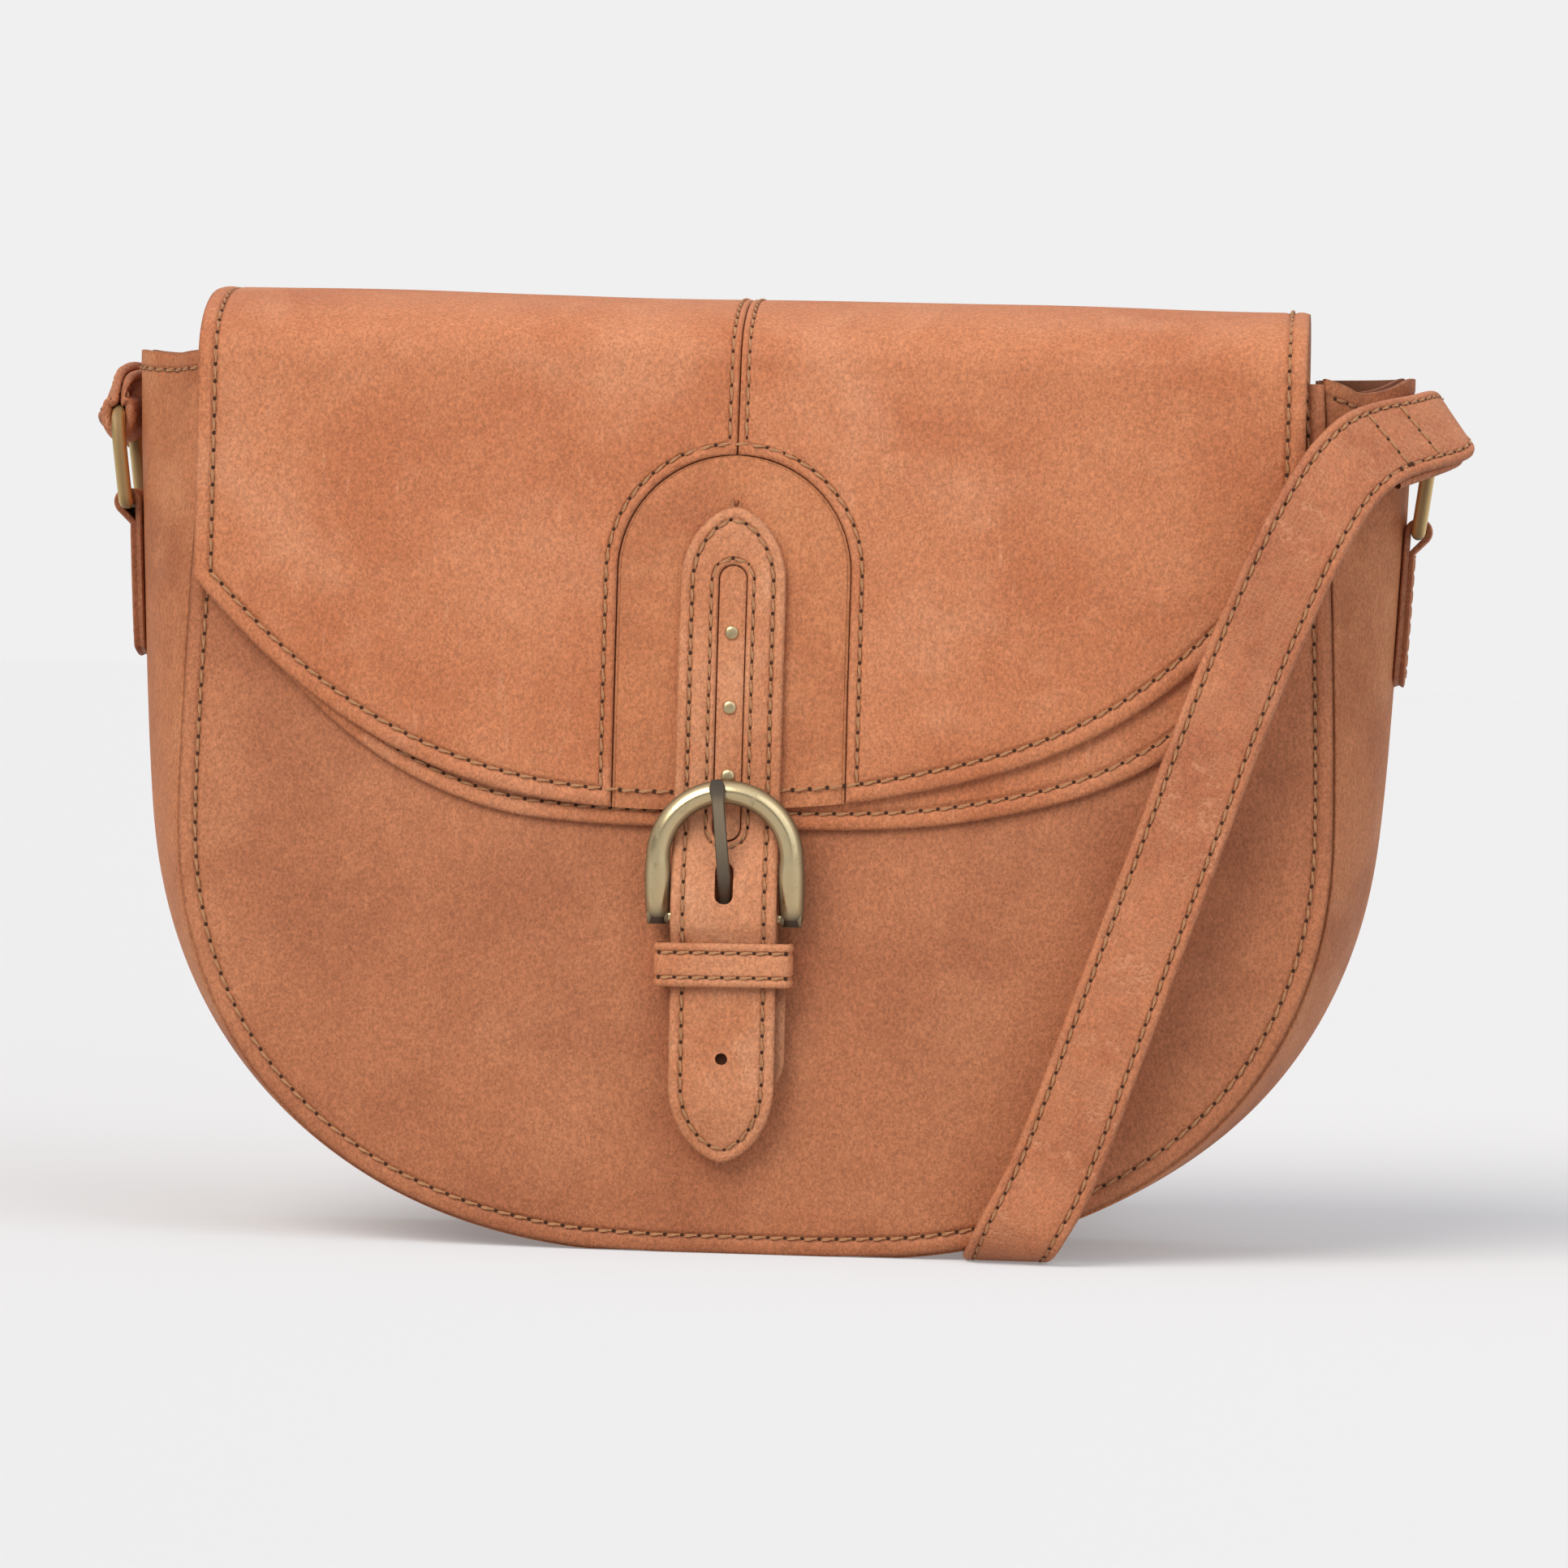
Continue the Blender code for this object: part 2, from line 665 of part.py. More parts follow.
rivets = []
for name, rise in zip(("rivet_top", "rivet_middle", "rivet_bottom"), RIVET_RISES):
    height = slot_bottom + rise
    foot_lift = strap_inner(height) + SLOT_INLAY_THICKNESS + SEAT_GAP
    profile = bmesh.new()
    steps = 4
    ring = [
        profile.verts.new((RIVET_RADIUS * math.cos(math.pi / 2 * n / steps), 0,
                           RIVET_CROWN * math.sin(math.pi / 2 * n / steps)))
        for n in range(steps, -1, -1)
    ]
    ring.append(profile.verts.new((0, 0, 0)))
    for first, second in zip(ring, ring[1:]):
        profile.edges.new((first, second))
    bmesh.ops.spin(profile, geom=profile.verts[:] + profile.edges[:], axis=(0, 0, 1), cent=(0, 0, 0),
                   angle=math.tau, steps=12, use_merge=True)
    bmesh.ops.remove_doubles(profile, verts=profile.verts, dist=WELD)
    bmesh.ops.recalc_face_normals(profile, faces=profile.faces)
    profile.transform(
        Matrix.Translation((FLAP_SHIFT, front_y(0, height, foot_lift), height))
        @ Matrix.Rotation(math.pi / 2, 4, "X")
    )
    rivets.append(add_object(name, profile, brass(name)))


# Chape: a doubled strip with a loop for the bar and a slot for the prong

def chape_half(z):
    past = min(max(chape_bottom + CHAPE_CORNER - z, 0), CHAPE_CORNER)
    return STRAP_WIDTH / 2 - CHAPE_CORNER + math.sqrt(CHAPE_CORNER**2 - past**2)


chape_heights = [chape_bottom + CHAPE_CORNER * (1 - share) for share in reversed(cap_shares)] + [
    chape_bottom + CHAPE_CORNER + (BAR_HEIGHT - chape_bottom - CHAPE_CORNER) * n / 6
    for n in range(1, 7)
]
buckle_chape = upright_sheet(
    "buckle_chape", chape_heights, chape_half, lambda z: chape_front, CHAPE_THICKNESS, 4,
    leather("buckle_chape", STRAP_TAN),
)
for vert in buckle_chape.data.vertices:
    below_keeper = min(max((keeper_top - vert.co.z) / KEEPER_HEIGHT, 0), 1)
    vert.co.x += CHAPE_SET * below_keeper
bar_y = front_y(0, BAR_HEIGHT, bar_lift)
bar_centre = Vector((FLAP_SHIFT, bar_y, BAR_HEIGHT))
chape_loop = as_cutter(
    "chape_loop", cylinder(bar_centre, (1, 0, 0), loop_radius, STRAP_WIDTH, 20)
)
boolean(buckle_chape, chape_loop, "UNION")
chape_bore = as_cutter(
    "chape_bore",
    cylinder(bar_centre, (1, 0, 0), BAR_RADIUS + BAR_PLAY, STRAP_WIDTH + 2 * CUT_OVERRUN, 20),
)
boolean(buckle_chape, chape_bore)
prong_ring_radius = BAR_RADIUS + BAR_PLAY + PRONG_WALL
prong_gap_half = PRONG_WIDTH / 2 + PRONG_HOLE_PLAY
prong_gap = as_cutter(
    "prong_gap",
    box(
        (FLAP_SHIFT - prong_gap_half, bar_y - CUT_OVERRUN, BAR_HEIGHT - loop_radius - SEAT_GAP),
        (FLAP_SHIFT + prong_gap_half, bar_y + CUT_OVERRUN, BAR_HEIGHT + CUT_OVERRUN),
    ),
)
boolean(buckle_chape, prong_gap)

# Keeper loop round the strap and the chape
keeper_back = chape_back - SEAT_GAP
keeper_front = strap_in_keeper + KEEPER_SLACK + STRAP_THICKNESS + SEAT_GAP
keeper_y = front_y(0, keeper_top - KEEPER_HEIGHT / 2, 0)


def rounded_block(half_x, near_lift, far_lift, low, high, rounding):
    bm = box((FLAP_SHIFT - half_x, keeper_y - far_lift, low),
             (FLAP_SHIFT + half_x, keeper_y - near_lift, high))
    upright = [e for e in bm.edges if abs((e.verts[0].co - e.verts[1].co).z) > (high - low) / 2]
    bmesh.ops.bevel(bm, geom=upright, offset=rounding, segments=3, profile=0.5, affect="EDGES")
    return bm


keeper_loop = add_object(
    "keeper_loop",
    rounded_block(KEEPER_WIDTH / 2, keeper_back - KEEPER_WALL, keeper_front + KEEPER_WALL,
                  keeper_top - KEEPER_HEIGHT, keeper_top, KEEPER_ROUND),
    leather("keeper_loop", STRAP_TAN),
)
keeper_bore = as_cutter(
    "keeper_bore",
    rounded_block(KEEPER_WIDTH / 2 - KEEPER_WALL, keeper_back, keeper_front,
                  keeper_top - KEEPER_HEIGHT - CUT_OVERRUN, keeper_top + CUT_OVERRUN,
                  KEEPER_ROUND - KEEPER_WALL),
)
boolean(keeper_loop, keeper_bore)

# Magnetic snap: the socket stays on the front panel, the stud rides on the chape
snap_slope = math.atan2(
    front_y(0, snap_height + SNAP_RADIUS, 0) - front_y(0, snap_height - SNAP_RADIUS, 0),
    2 * SNAP_RADIUS,
)


def snap_disc(name, lift):
    middle = Vector((FLAP_SHIFT, front_y(0, snap_height, lift + SNAP_DISC / 2), snap_height))
    face = (0, -math.cos(snap_slope), math.sin(snap_slope))
    disc = cylinder(middle, face, SNAP_RADIUS, SNAP_DISC, 28)
    return add_object(name, disc, brass(name))


snap_socket = snap_disc("snap_socket", SEAT_GAP)
snap_stud = snap_disc("snap_stud", 2 * SEAT_GAP + SNAP_DISC)


# Buckle frame: a horseshoe whose legs bend back to the bar

wire_radius = FRAME_WIRE / 2
frame_half = (FRAME_WIDTH - FRAME_WIRE) / 2
frame_lift = strap_rest + STRAP_THICKNESS + SEAT_GAP + wire_radius
frame_arc_height = frame_top - wire_radius - frame_half
FRAME_ARC_STEPS = 14


def frame_points():
    """(x, y, z, thickness share) from the left end of the bar over the top to the right one."""
    leg_shares = ((0, 0), (0.35, 0.5), (0.75, 0.9))
    legs = [
        (
            BAR_HEIGHT + (frame_arc_height - BAR_HEIGHT) * up,
            bar_lift + (frame_lift - bar_lift) * out,
            FRAME_LEG_END_SHARE + (1 - FRAME_LEG_END_SHARE) * out,
        )
        for up, out in leg_shares
    ]
    left = [
        (FLAP_SHIFT - frame_half, front_y(0, z, lift), z, share) for z, lift, share in legs
    ]
    arc = []
    for step in range(FRAME_ARC_STEPS + 1):
        turn = math.pi * step / FRAME_ARC_STEPS
        z = frame_arc_height + frame_half * math.sin(turn)
        arc.append((FLAP_SHIFT - frame_half * math.cos(turn), front_y(0, z, frame_lift), z, 1.0))
    right = [(2 * FLAP_SHIFT - x, y, z, share) for x, y, z, share in reversed(left)]
    return left + arc + right


def wire(name, points, radius, cyclic, resolution):
    data = bpy.data.curves.new(name, "CURVE")
    data.dimensions = "3D"
    data.bevel_depth = radius
    data.bevel_resolution = resolution
    data.use_fill_caps = not cyclic
    spline = data.splines.new("POLY")
    spline.points.add(len(points) - 1)
    for point, (x, y, z, share) in zip(spline.points, points):
        point.co = (x, y, z, 1)
        point.radius = share
    spline.use_cyclic_u = cyclic
    obj = bpy.data.objects.new(name, data)
    cutters.objects.link(obj)
    return obj


buckle_frame = curve_to_mesh(
    wire("frame_wire", frame_points(), wire_radius, False, 3), "buckle_frame", brass("buckle_frame")
)
bar = as_cutter("buckle_bar", cylinder(bar_centre, (1, 0, 0), BAR_RADIUS, 2 * frame_half, 20))
boolean(buckle_frame, bar, "UNION")

# Prong: a ring on the bar and a flat tongue that rests on the frame
prong_rest = frame_lift + wire_radius + SEAT_GAP + PRONG_THICKNESS / 2
prong_knots = (
    (0.0, bar_lift + 0.5 * prong_ring_radius),
    (0.16, strap_over_bar + 0.2 * PRONG_THICKNESS),
    (0.32, strap_over_bar + STRAP_THICKNESS + 0.1 * PRONG_THICKNESS),
    (0.60, prong_rest - 0.45 * PRONG_THICKNESS),
    (0.85, prong_rest),
    (1.0, prong_rest - 0.15 * PRONG_THICKNESS),
)
prong_length = frame_top + SEAT_GAP - BAR_HEIGHT
PRONG_STEPS = 16
prong_heights = [BAR_HEIGHT + prong_length * n / PRONG_STEPS for n in range(PRONG_STEPS + 1)]
buckle_prong = upright_sheet(
    "buckle_prong", prong_heights, lambda z: PRONG_WIDTH / 2,
    lambda z: eased(prong_knots, (z - BAR_HEIGHT) / prong_length) + PRONG_THICKNESS / 2,
    PRONG_THICKNESS, 1, brass("buckle_prong"),
)
prong_ring = as_cutter(
    "prong_ring", cylinder(bar_centre, (1, 0, 0), prong_ring_radius, PRONG_WIDTH, 24)
)
boolean(buckle_prong, prong_ring, "UNION")
prong_bore = as_cutter(
    "prong_bore",
    cylinder(bar_centre, (1, 0, 0), BAR_RADIUS + BAR_PLAY, PRONG_WIDTH + 2 * CUT_OVERRUN, 24),
)
boolean(buckle_prong, prong_bore)


# D-rings and the tabs that hold them on the bellows' crease

ring_bar_height = PANEL_HEIGHT - RING_BAR_DROP
tab_bottom = ring_bar_height - TAB_LENGTH
ring_wire_radius = RING_WIRE / 2
tab_loop_radius = ring_wire_radius + BAR_PLAY + TAB_LOOP_WALL


def crease_x(z):
    return half_width(z) + bulge(z)


ring_x = crease_x(ring_bar_height) + SEAT_GAP + tab_loop_radius
RING_STEPS = 16


def ring_points(side):
    """A D: the straight bar along Y, then the bow, which leans outwards as it rises."""
    half = (RING_WIDTH - RING_WIRE) / 2
    points = []
    for step in range(RING_STEPS + 1):
        turn = math.pi * step / RING_STEPS
        across = math.cos(turn)
        y = half * math.copysign(abs(across) ** RING_BOW_POWER_SHARE, across)
        rise = RING_RISE * abs(math.sin(turn)) ** RING_BOW_POWER_SHARE
        x = side * (ring_x + RING_LEAN_SHARE * rise)
        points.append((x, y, ring_bar_height + rise, 1.0))
    return points


TAB_STEPS = 6
for side, word in ((-1, "left"), (1, "right")):
    ring = curve_to_mesh(
        wire("ring_wire_" + word, ring_points(side), ring_wire_radius, True, 2),
        "ring_" + word, brass("ring_" + word),
    )
    ride_on(ring, empty("ring_axis_" + word, (side * ring_x, 0, ring_bar_height)))

    bm = bmesh.new()
    bmesh.ops.create_grid(bm, x_segments=2, y_segments=TAB_STEPS, size=1)
    for vert in bm.verts:
        z = tab_bottom + (ring_bar_height - tab_bottom) * (vert.co.y + 1) / 2
        vert.co = (side * (crease_x(z) + SEAT_GAP), side * vert.co.x * TAB_WIDTH / 2, z)
    tab = add_object("ring_tab_" + word, bm, leather("ring_tab_" + word, STRAP_TAN))
    thicken(tab, TAB_THICKNESS, 1)
    middle = (side * ring_x, 0, ring_bar_height)
    loop = as_cutter("tab_loop_" + word, cylinder(middle, (0, 1, 0), tab_loop_radius, TAB_WIDTH, 20))
    boolean(tab, loop, "UNION")
    bore = as_cutter(
        "tab_bore_" + word,
        cylinder(middle, (0, 1, 0), ring_wire_radius + BAR_PLAY, TAB_WIDTH + CUT_OVERRUN, 20),
    )
    boolean(tab, bore)


# Shoulder strap: from the right ring down the front, under the bag, folded in a stack behind it
# and up the back to the left ring

def smooth(values, at):
    """Catmull-Rom curve through a list of vectors, at a position counted in list places."""
    index = min(int(at), len(values) - 2)
    t = at - index
    before = values[max(index - 1, 0)]
    first, second = values[index], values[index + 1]
    after = values[min(index + 2, len(values) - 1)]
    return (
        first * 2
        + (second - before) * t
        + (before * 2 - first * 5 + second * 4 - after) * t**2
        + (first * 3 - before - second * 3 + after) * t**3
    ) / 2


eye_radius = ring_wire_radius + SEAT_GAP + SHOULDER_THICKNESS / 2
eye_room = 0.14 * RING_RISE
ring_top_x = ring_x + RING_LEAN_SHARE * RING_RISE
ring_top_z = ring_bar_height + RING_RISE
mouth_half = MOUTH_WIDTH / 2
front = BODY_DEPTH / 2 + FRONT_STAND_OFF
floor_run = SHOULDER_THICKNESS / 2 + SEAT_GAP


def right_end():
    """(place, width direction) of the sewn end: the folded-back layer, the eye, the strap's start."""
    lower = ((ring_top_x + 1.3 * eye_radius, -0.12 * BODY_DEPTH, ring_top_z + 1.7 * eye_radius),
             (-0.35, 0.75, 0.55))
    upper = ((ring_top_x + 0.5 * eye_radius, -0.32 * BODY_DEPTH, ring_top_z + eye_radius),
             (-0.62, 0.30, 0.72))
    eye = []
    for turn in [math.radians(degrees) for degrees in (110, 150, 210, 270, 330, 390, 430)]:
        reach = eye_radius + (eye_room if math.sin(turn) < 0 else 0)
        x = ring_top_x + eye_radius * math.cos(turn)
        eye.append(((x, 0, ring_top_z + reach * math.sin(turn)), (0, 1, 0)))
    layer_gap = SHOULDER_THICKNESS + 2 * SEAT_GAP
    along = Vector(upper[0]) - Vector(eye[-1][0])
    folded = []
    for place, width in (upper, lower):
        beneath = along.cross(Vector(width)).normalized() * layer_gap
        folded.append((tuple(Vector(place) + beneath), width))
    return folded + eye + [lower, upper]


def half_turned(route):
    """The same end at the left ring: turned half round about Z and run backwards."""
    return [((-x, -y, z), (a, b, -c)) for (x, y, z), (a, b, c) in reversed(route)]


def right_route():
    """(place, width direction) from the right ring's eye down to the floor in front."""
    wall = front + FRONT_CROWN
    return right_end() + [
        ((1.08 * mouth_half, -0.95 * front, 0.925 * PANEL_HEIGHT), (-0.66, 0.05, 0.74)),
        ((0.985 * mouth_half, -wall, 0.84 * PANEL_HEIGHT), (-0.78, 0, 0.60)),
        ((0.87 * mouth_half, -1.02 * wall, 0.67 * PANEL_HEIGHT), (-0.89, 0, 0.45)),
        ((0.765 * mouth_half, -1.03 * wall, 0.48 * PANEL_HEIGHT), (-0.90, 0, 0.43)),
        ((0.66 * mouth_half, -1.0 * wall, 0.29 * PANEL_HEIGHT), (-0.90, 0, 0.43)),
        ((0.565 * mouth_half, -0.94 * wall, 0.12 * PANEL_HEIGHT), (-0.92, 0, 0.38)),
        ((0.50 * mouth_half, -0.90 * wall, 0.035 * PANEL_HEIGHT), (-0.97, 0, 0.2)),
    ]


def stack_route():
    """The flat run under the bag and the loose stack of folds behind it."""
    x = 0.475 * mouth_half
    behind = BODY_DEPTH / 2
    route = [((x, -0.8 * front, floor_run), (-1, 0, 0)), ((x, -0.3 * front, floor_run), (-1, 0, 0)),
             ((x, 0.5 * behind, floor_run), (-1, 0, 0))]
    near = behind + 6 * STACK_BEND
    far = near + STACK_LENGTH
    rise = 2 * STACK_BEND
    for layer in range(STACK_LAYERS):
        z = floor_run + rise * layer
        start, end = (near, far) if layer % 2 == 0 else (far, near)
        step = 0.25 * (end - start)
        route += [((x, start + step * n, z), (-1, 0, 0)) for n in (0, 1, 2, 3, 4)]
        turn = STACK_BEND * (1 if end > start else -1)
        if layer < STACK_LAYERS - 1:
            route.append(((x, end + turn, z + STACK_BEND), (-1, 0, 0)))
    return route


def left_route():
    """From the stack up the back, across to the left ring's eye."""
    top = floor_run + 2 * STACK_BEND * (STACK_LAYERS - 1)
    wall = BODY_DEPTH / 2 + BACK_CROWN
    return [
        ((0.44 * mouth_half, wall + 4 * STACK_BEND, top + 3 * STACK_BEND), (-1, 0, 0)),
        ((0.34 * mouth_half, wall + 3 * STACK_BEND, 0.30 * PANEL_HEIGHT), (-0.93, 0, -0.37)),
        ((-0.05 * mouth_half, wall + 3 * STACK_BEND, 0.47 * PANEL_HEIGHT), (-0.78, 0, -0.62)),
        ((-0.45 * mouth_half, wall + 3 * STACK_BEND, 0.64 * PANEL_HEIGHT), (-0.70, 0, -0.71)),
        ((-0.82 * mouth_half, wall + 3 * STACK_BEND, 0.80 * PANEL_HEIGHT), (-0.62, 0, -0.78)),
        ((-1.06 * mouth_half, wall + 2.2 * STACK_BEND, 0.925 * PANEL_HEIGHT), (-0.60, 0.1, -0.79)),
    ] + half_turned(right_end())


ROUTE_STEPS = 3


def smooth_run(route):
    """Stations (place, width direction) on a smooth curve through a route, none below the floor."""
    places = [Vector(place) for place, _ in route]
    widths = [Vector(width) for _, width in route]
    stations = []
    for n in range((len(route) - 1) * ROUTE_STEPS + 1):
        place = smooth(places, n / ROUTE_STEPS)
        width = smooth(widths, n / ROUTE_STEPS).normalized()
        place.z = max(place.z, floor_run + abs(width.z) * SHOULDER_WIDTH / 2)
        stations.append((place, width))
    return stations


stations = smooth_run(right_route() + stack_route() + left_route())
shoulder_length = sum((b[0] - a[0]).length for a, b in zip(stations, stations[1:]))
print("shoulder strap, mm:", round(shoulder_length * 1000))
bm = bmesh.new()
bmesh.ops.create_grid(bm, x_segments=1, y_segments=len(stations) - 1, size=1)
for vert in bm.verts:
    place, width = stations[round((vert.co.y + 1) / 2 * (len(stations) - 1))]
    vert.co = place + width * (vert.co.x * SHOULDER_WIDTH / 2)
shoulder_strap = add_object("shoulder_strap", bm, leather("shoulder_strap", STRAP_TAN))
thicken(shoulder_strap, SHOULDER_THICKNESS, 0)


# Moving pieces ride on the axes of their joints

flap_axis = empty("flap_axis", (0, flap_hinge_y, fold_height))
frame_axis = empty("frame_axis", bar_centre)
prong_axis = empty("prong_axis", bar_centre)
ride_on(prong_axis, frame_axis)
ride_on(frame_axis, flap_axis)
for obj in (flap_left, flap_right, inner_leaf, arch_inlay, closure_strap, slot_inlay, *rivets,
            buckle_chape, keeper_loop, snap_stud):
    ride_on(obj, flap_axis)
ride_on(buckle_frame, frame_axis)
ride_on(buckle_prong, prong_axis)
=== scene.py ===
"""Looks of a cognac leather crossbody bag: nubuck panels, sewn edges, an aged brass buckle and D-rings."""

import math

import bmesh
import bpy
from mathutils import Matrix, Vector, kdtree, noise
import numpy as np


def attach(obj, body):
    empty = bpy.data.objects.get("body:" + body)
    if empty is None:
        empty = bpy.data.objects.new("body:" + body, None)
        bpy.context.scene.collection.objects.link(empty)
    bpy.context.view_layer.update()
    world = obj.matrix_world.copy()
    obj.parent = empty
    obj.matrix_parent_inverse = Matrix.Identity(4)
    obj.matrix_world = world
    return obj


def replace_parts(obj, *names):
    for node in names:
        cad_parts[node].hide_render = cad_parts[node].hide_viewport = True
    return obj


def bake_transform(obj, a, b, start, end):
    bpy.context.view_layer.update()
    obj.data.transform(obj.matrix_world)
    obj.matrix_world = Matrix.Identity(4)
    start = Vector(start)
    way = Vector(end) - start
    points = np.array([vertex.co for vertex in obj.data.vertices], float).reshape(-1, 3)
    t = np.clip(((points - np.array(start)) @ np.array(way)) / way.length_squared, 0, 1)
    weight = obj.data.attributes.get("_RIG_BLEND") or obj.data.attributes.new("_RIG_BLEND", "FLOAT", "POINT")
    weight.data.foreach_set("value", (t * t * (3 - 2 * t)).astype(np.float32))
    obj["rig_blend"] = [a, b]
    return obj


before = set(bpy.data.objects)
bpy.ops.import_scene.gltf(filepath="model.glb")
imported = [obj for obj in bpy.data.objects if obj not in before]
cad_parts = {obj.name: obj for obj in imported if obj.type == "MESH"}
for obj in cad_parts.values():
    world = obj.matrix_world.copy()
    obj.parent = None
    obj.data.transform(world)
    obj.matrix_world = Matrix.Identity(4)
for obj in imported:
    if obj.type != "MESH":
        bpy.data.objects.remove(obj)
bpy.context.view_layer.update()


# The place where the bag stands: a seamless pale table, soft light from the front left and above,
# and the camera a little to the right of the front, as a catalogue picture is taken.

BACKDROP_GREY = "#f0f0f0"
FLOOR_GREY = "#d3d3d3"
FLOOR_GLOW = 0.25
FLOOR_HALF = 12.0
SKY_WHITE = "#f6f8ff"
SKY_HEIGHTS = (0.05, 0.7)
SKY_LIGHTS = (0.20, 0.86)
LAMPS = (
    # name, strength, where it stands, breadth in degrees, colour
    ("key_light", 1.86, (-0.55, -0.9, 0.85), 40, "#fff8f0"),
    ("fill_light", 0.60, (0.9, -0.8, 0.5), 60, "#f4f8ff"),
)
CAMERA_DISTANCE = 2.0
CAMERA_TURN = math.radians(4.15)
CAMERA_RISE = math.radians(1.42)
CAMERA_ROLL = math.radians(1.41)
CAMERA_TARGET = Vector((0.0045, 0, 0.1139))
PICTURE_SIDE = 1932
FOCAL_PIXELS = 9918
SENSOR = 36.0


def linear(hex_colour):
    """An sRGB hex colour as linear red, green, blue and alpha."""
    channels = [int(hex_colour[place:place + 2], 16) / 255 for place in (1, 3, 5)]
    return [c / 12.92 if c <= 0.04045 else ((c + 0.055) / 1.055) ** 2.4 for c in channels] + [1.0]


def add_node(owner, kind, inputs=(), **settings):
    """Add a node. Settings set its own fields; inputs fill or link its sockets by name or place."""
    new = owner.node_tree.nodes.new(kind)
    for field, value in settings.items():
        setattr(new, field, value)
    for socket, value in dict(inputs).items():
        if isinstance(value, bpy.types.NodeSocket):
            owner.node_tree.links.new(value, new.inputs[socket])
        else:
            new.inputs[socket].default_value = value
    return new


def new_material(name):
    mat = bpy.data.materials.new(name)
    mat.use_nodes = True
    mat.node_tree.nodes.clear()
    return mat


def finish_material(mat, shader):
    add_node(mat, "ShaderNodeOutputMaterial", {"Surface": shader.outputs[0]})
    return mat


floor_mesh = bmesh.new()
bmesh.ops.create_grid(floor_mesh, x_segments=1, y_segments=1, size=FLOOR_HALF)
floor_data = bpy.data.meshes.new("table_top")
floor_mesh.to_mesh(floor_data)
floor_mesh.free()
floor = bpy.data.objects.new("table_top", floor_data)
bpy.context.scene.collection.objects.link(floor)
floor_paint = new_material("matt_white_table")
paint = add_node(floor_paint, "ShaderNodeBsdfDiffuse", {"Color": linear(FLOOR_GREY), "Roughness": 1.0})
glow = add_node(floor_paint, "ShaderNodeEmission", {"Color": linear(BACKDROP_GREY), "Strength": 1.0})
finish_material(floor_paint, add_node(floor_paint, "ShaderNodeMixShader", {
    0: FLOOR_GLOW, 1: paint.outputs[0], 2: glow.outputs[0]}))
floor_data.materials.append(floor_paint)

room = bpy.data.worlds.new("studio_room")
room.use_nodes = True
room.node_tree.nodes.clear()
rays = add_node(room, "ShaderNodeLightPath")
way = add_node(room, "ShaderNodeTexCoord").outputs["Generated"]
steepness = add_node(room, "ShaderNodeSeparateXYZ", {0: way}).outputs["Z"]
brightness = add_node(room, "ShaderNodeMapRange", {
    "Value": steepness, "From Min": SKY_HEIGHTS[0], "From Max": SKY_HEIGHTS[1],
    "To Min": SKY_LIGHTS[0], "To Max": SKY_LIGHTS[1]}, interpolation_type="SMOOTHSTEP").outputs[0]
soft = add_node(room, "ShaderNodeBackground", {"Color": linear(SKY_WHITE), "Strength": brightness})
seen = add_node(room, "ShaderNodeBackground", {"Color": linear(BACKDROP_GREY), "Strength": 1.0})
shown = add_node(room, "ShaderNodeMath", {
    0: rays.outputs["Is Camera Ray"], 1: rays.outputs["Is Transmission Ray"]}, operation="MAXIMUM")
sky = add_node(room, "ShaderNodeMixShader", {0: shown.outputs[0], 1: soft.outputs[0], 2: seen.outputs[0]})
add_node(room, "ShaderNodeOutputWorld", {"Surface": sky.outputs[0]})
bpy.context.scene.world = room

for lamp_name, strength, stand, spread, colour in LAMPS:
    lamp_data = bpy.data.lights.new(lamp_name, "SUN")
    lamp_data.energy = strength
    lamp_data.angle = math.radians(spread)
    lamp_data.color = linear(colour)[:3]
    lamp = bpy.data.objects.new(lamp_name, lamp_data)
    lamp.rotation_euler = Vector(stand).to_track_quat("Z", "Y").to_euler()
    bpy.context.scene.collection.objects.link(lamp)

camera_data = bpy.data.cameras.new("camera")
camera_data.sensor_width = SENSOR
camera_data.lens = SENSOR * FOCAL_PIXELS / PICTURE_SIDE
camera = bpy.data.objects.new("camera", camera_data)
camera_direction = Vector((
    math.sin(CAMERA_TURN) * math.cos(CAMERA_RISE),
    -math.cos(CAMERA_TURN) * math.cos(CAMERA_RISE),
    math.sin(CAMERA_RISE),
))
camera.location = CAMERA_TARGET + camera_direction * CAMERA_DISTANCE
camera.rotation_euler = (
    camera_direction.to_track_quat("Z", "Y") @ Matrix.Rotation(CAMERA_ROLL, 3, "Z").to_quaternion()
).to_euler()
bpy.context.scene.collection.objects.link(camera)
bpy.context.scene.camera = camera
bpy.context.scene.view_settings.view_transform = "Standard"


# Front panel: a D-shaped piece of cognac nubuck, cut from one hide, its edge turned in and
# sewn to the gusset all round with a thick two-ply thread.

BODY_WIDTH = 0.282
MOUTH_WIDTH = 0.272
BASE_FLAT = 0.040
WIDEST_HEIGHT = 0.105
PANEL_HEIGHT = 0.215
BODY_DEPTH = 0.082
OUTLINE_POWER = 2.2
MOUTH_TAPER_POWER = 1.5
PANEL_THICKNESS = 0.0022
FRONT_CROWN = 0.008
BACK_CROWN = 0.004
CROWN_POWER = 2.2
SEAT_GAP = 0.0003
PANEL_CELLS = 110
PANEL_LOWER_ROWS = 60
PANEL_UPPER_ROWS = 56
EDGE_ROUND = 0.0005
RIPPLE_DEPTH = 0.0009
RIPPLE_LENGTH = 0.055
RIPPLE_FADE = 0.025
RIPPLE_AT_EDGE = 0.25
FOLD_HEIGHT = 0.214
SHARP_ANGLE = math.radians(50)
WELD = 0.000005
STITCH_PITCH = 0.0042
STITCH_INSET = 0.0043
THREAD_RADIUS = 0.00037
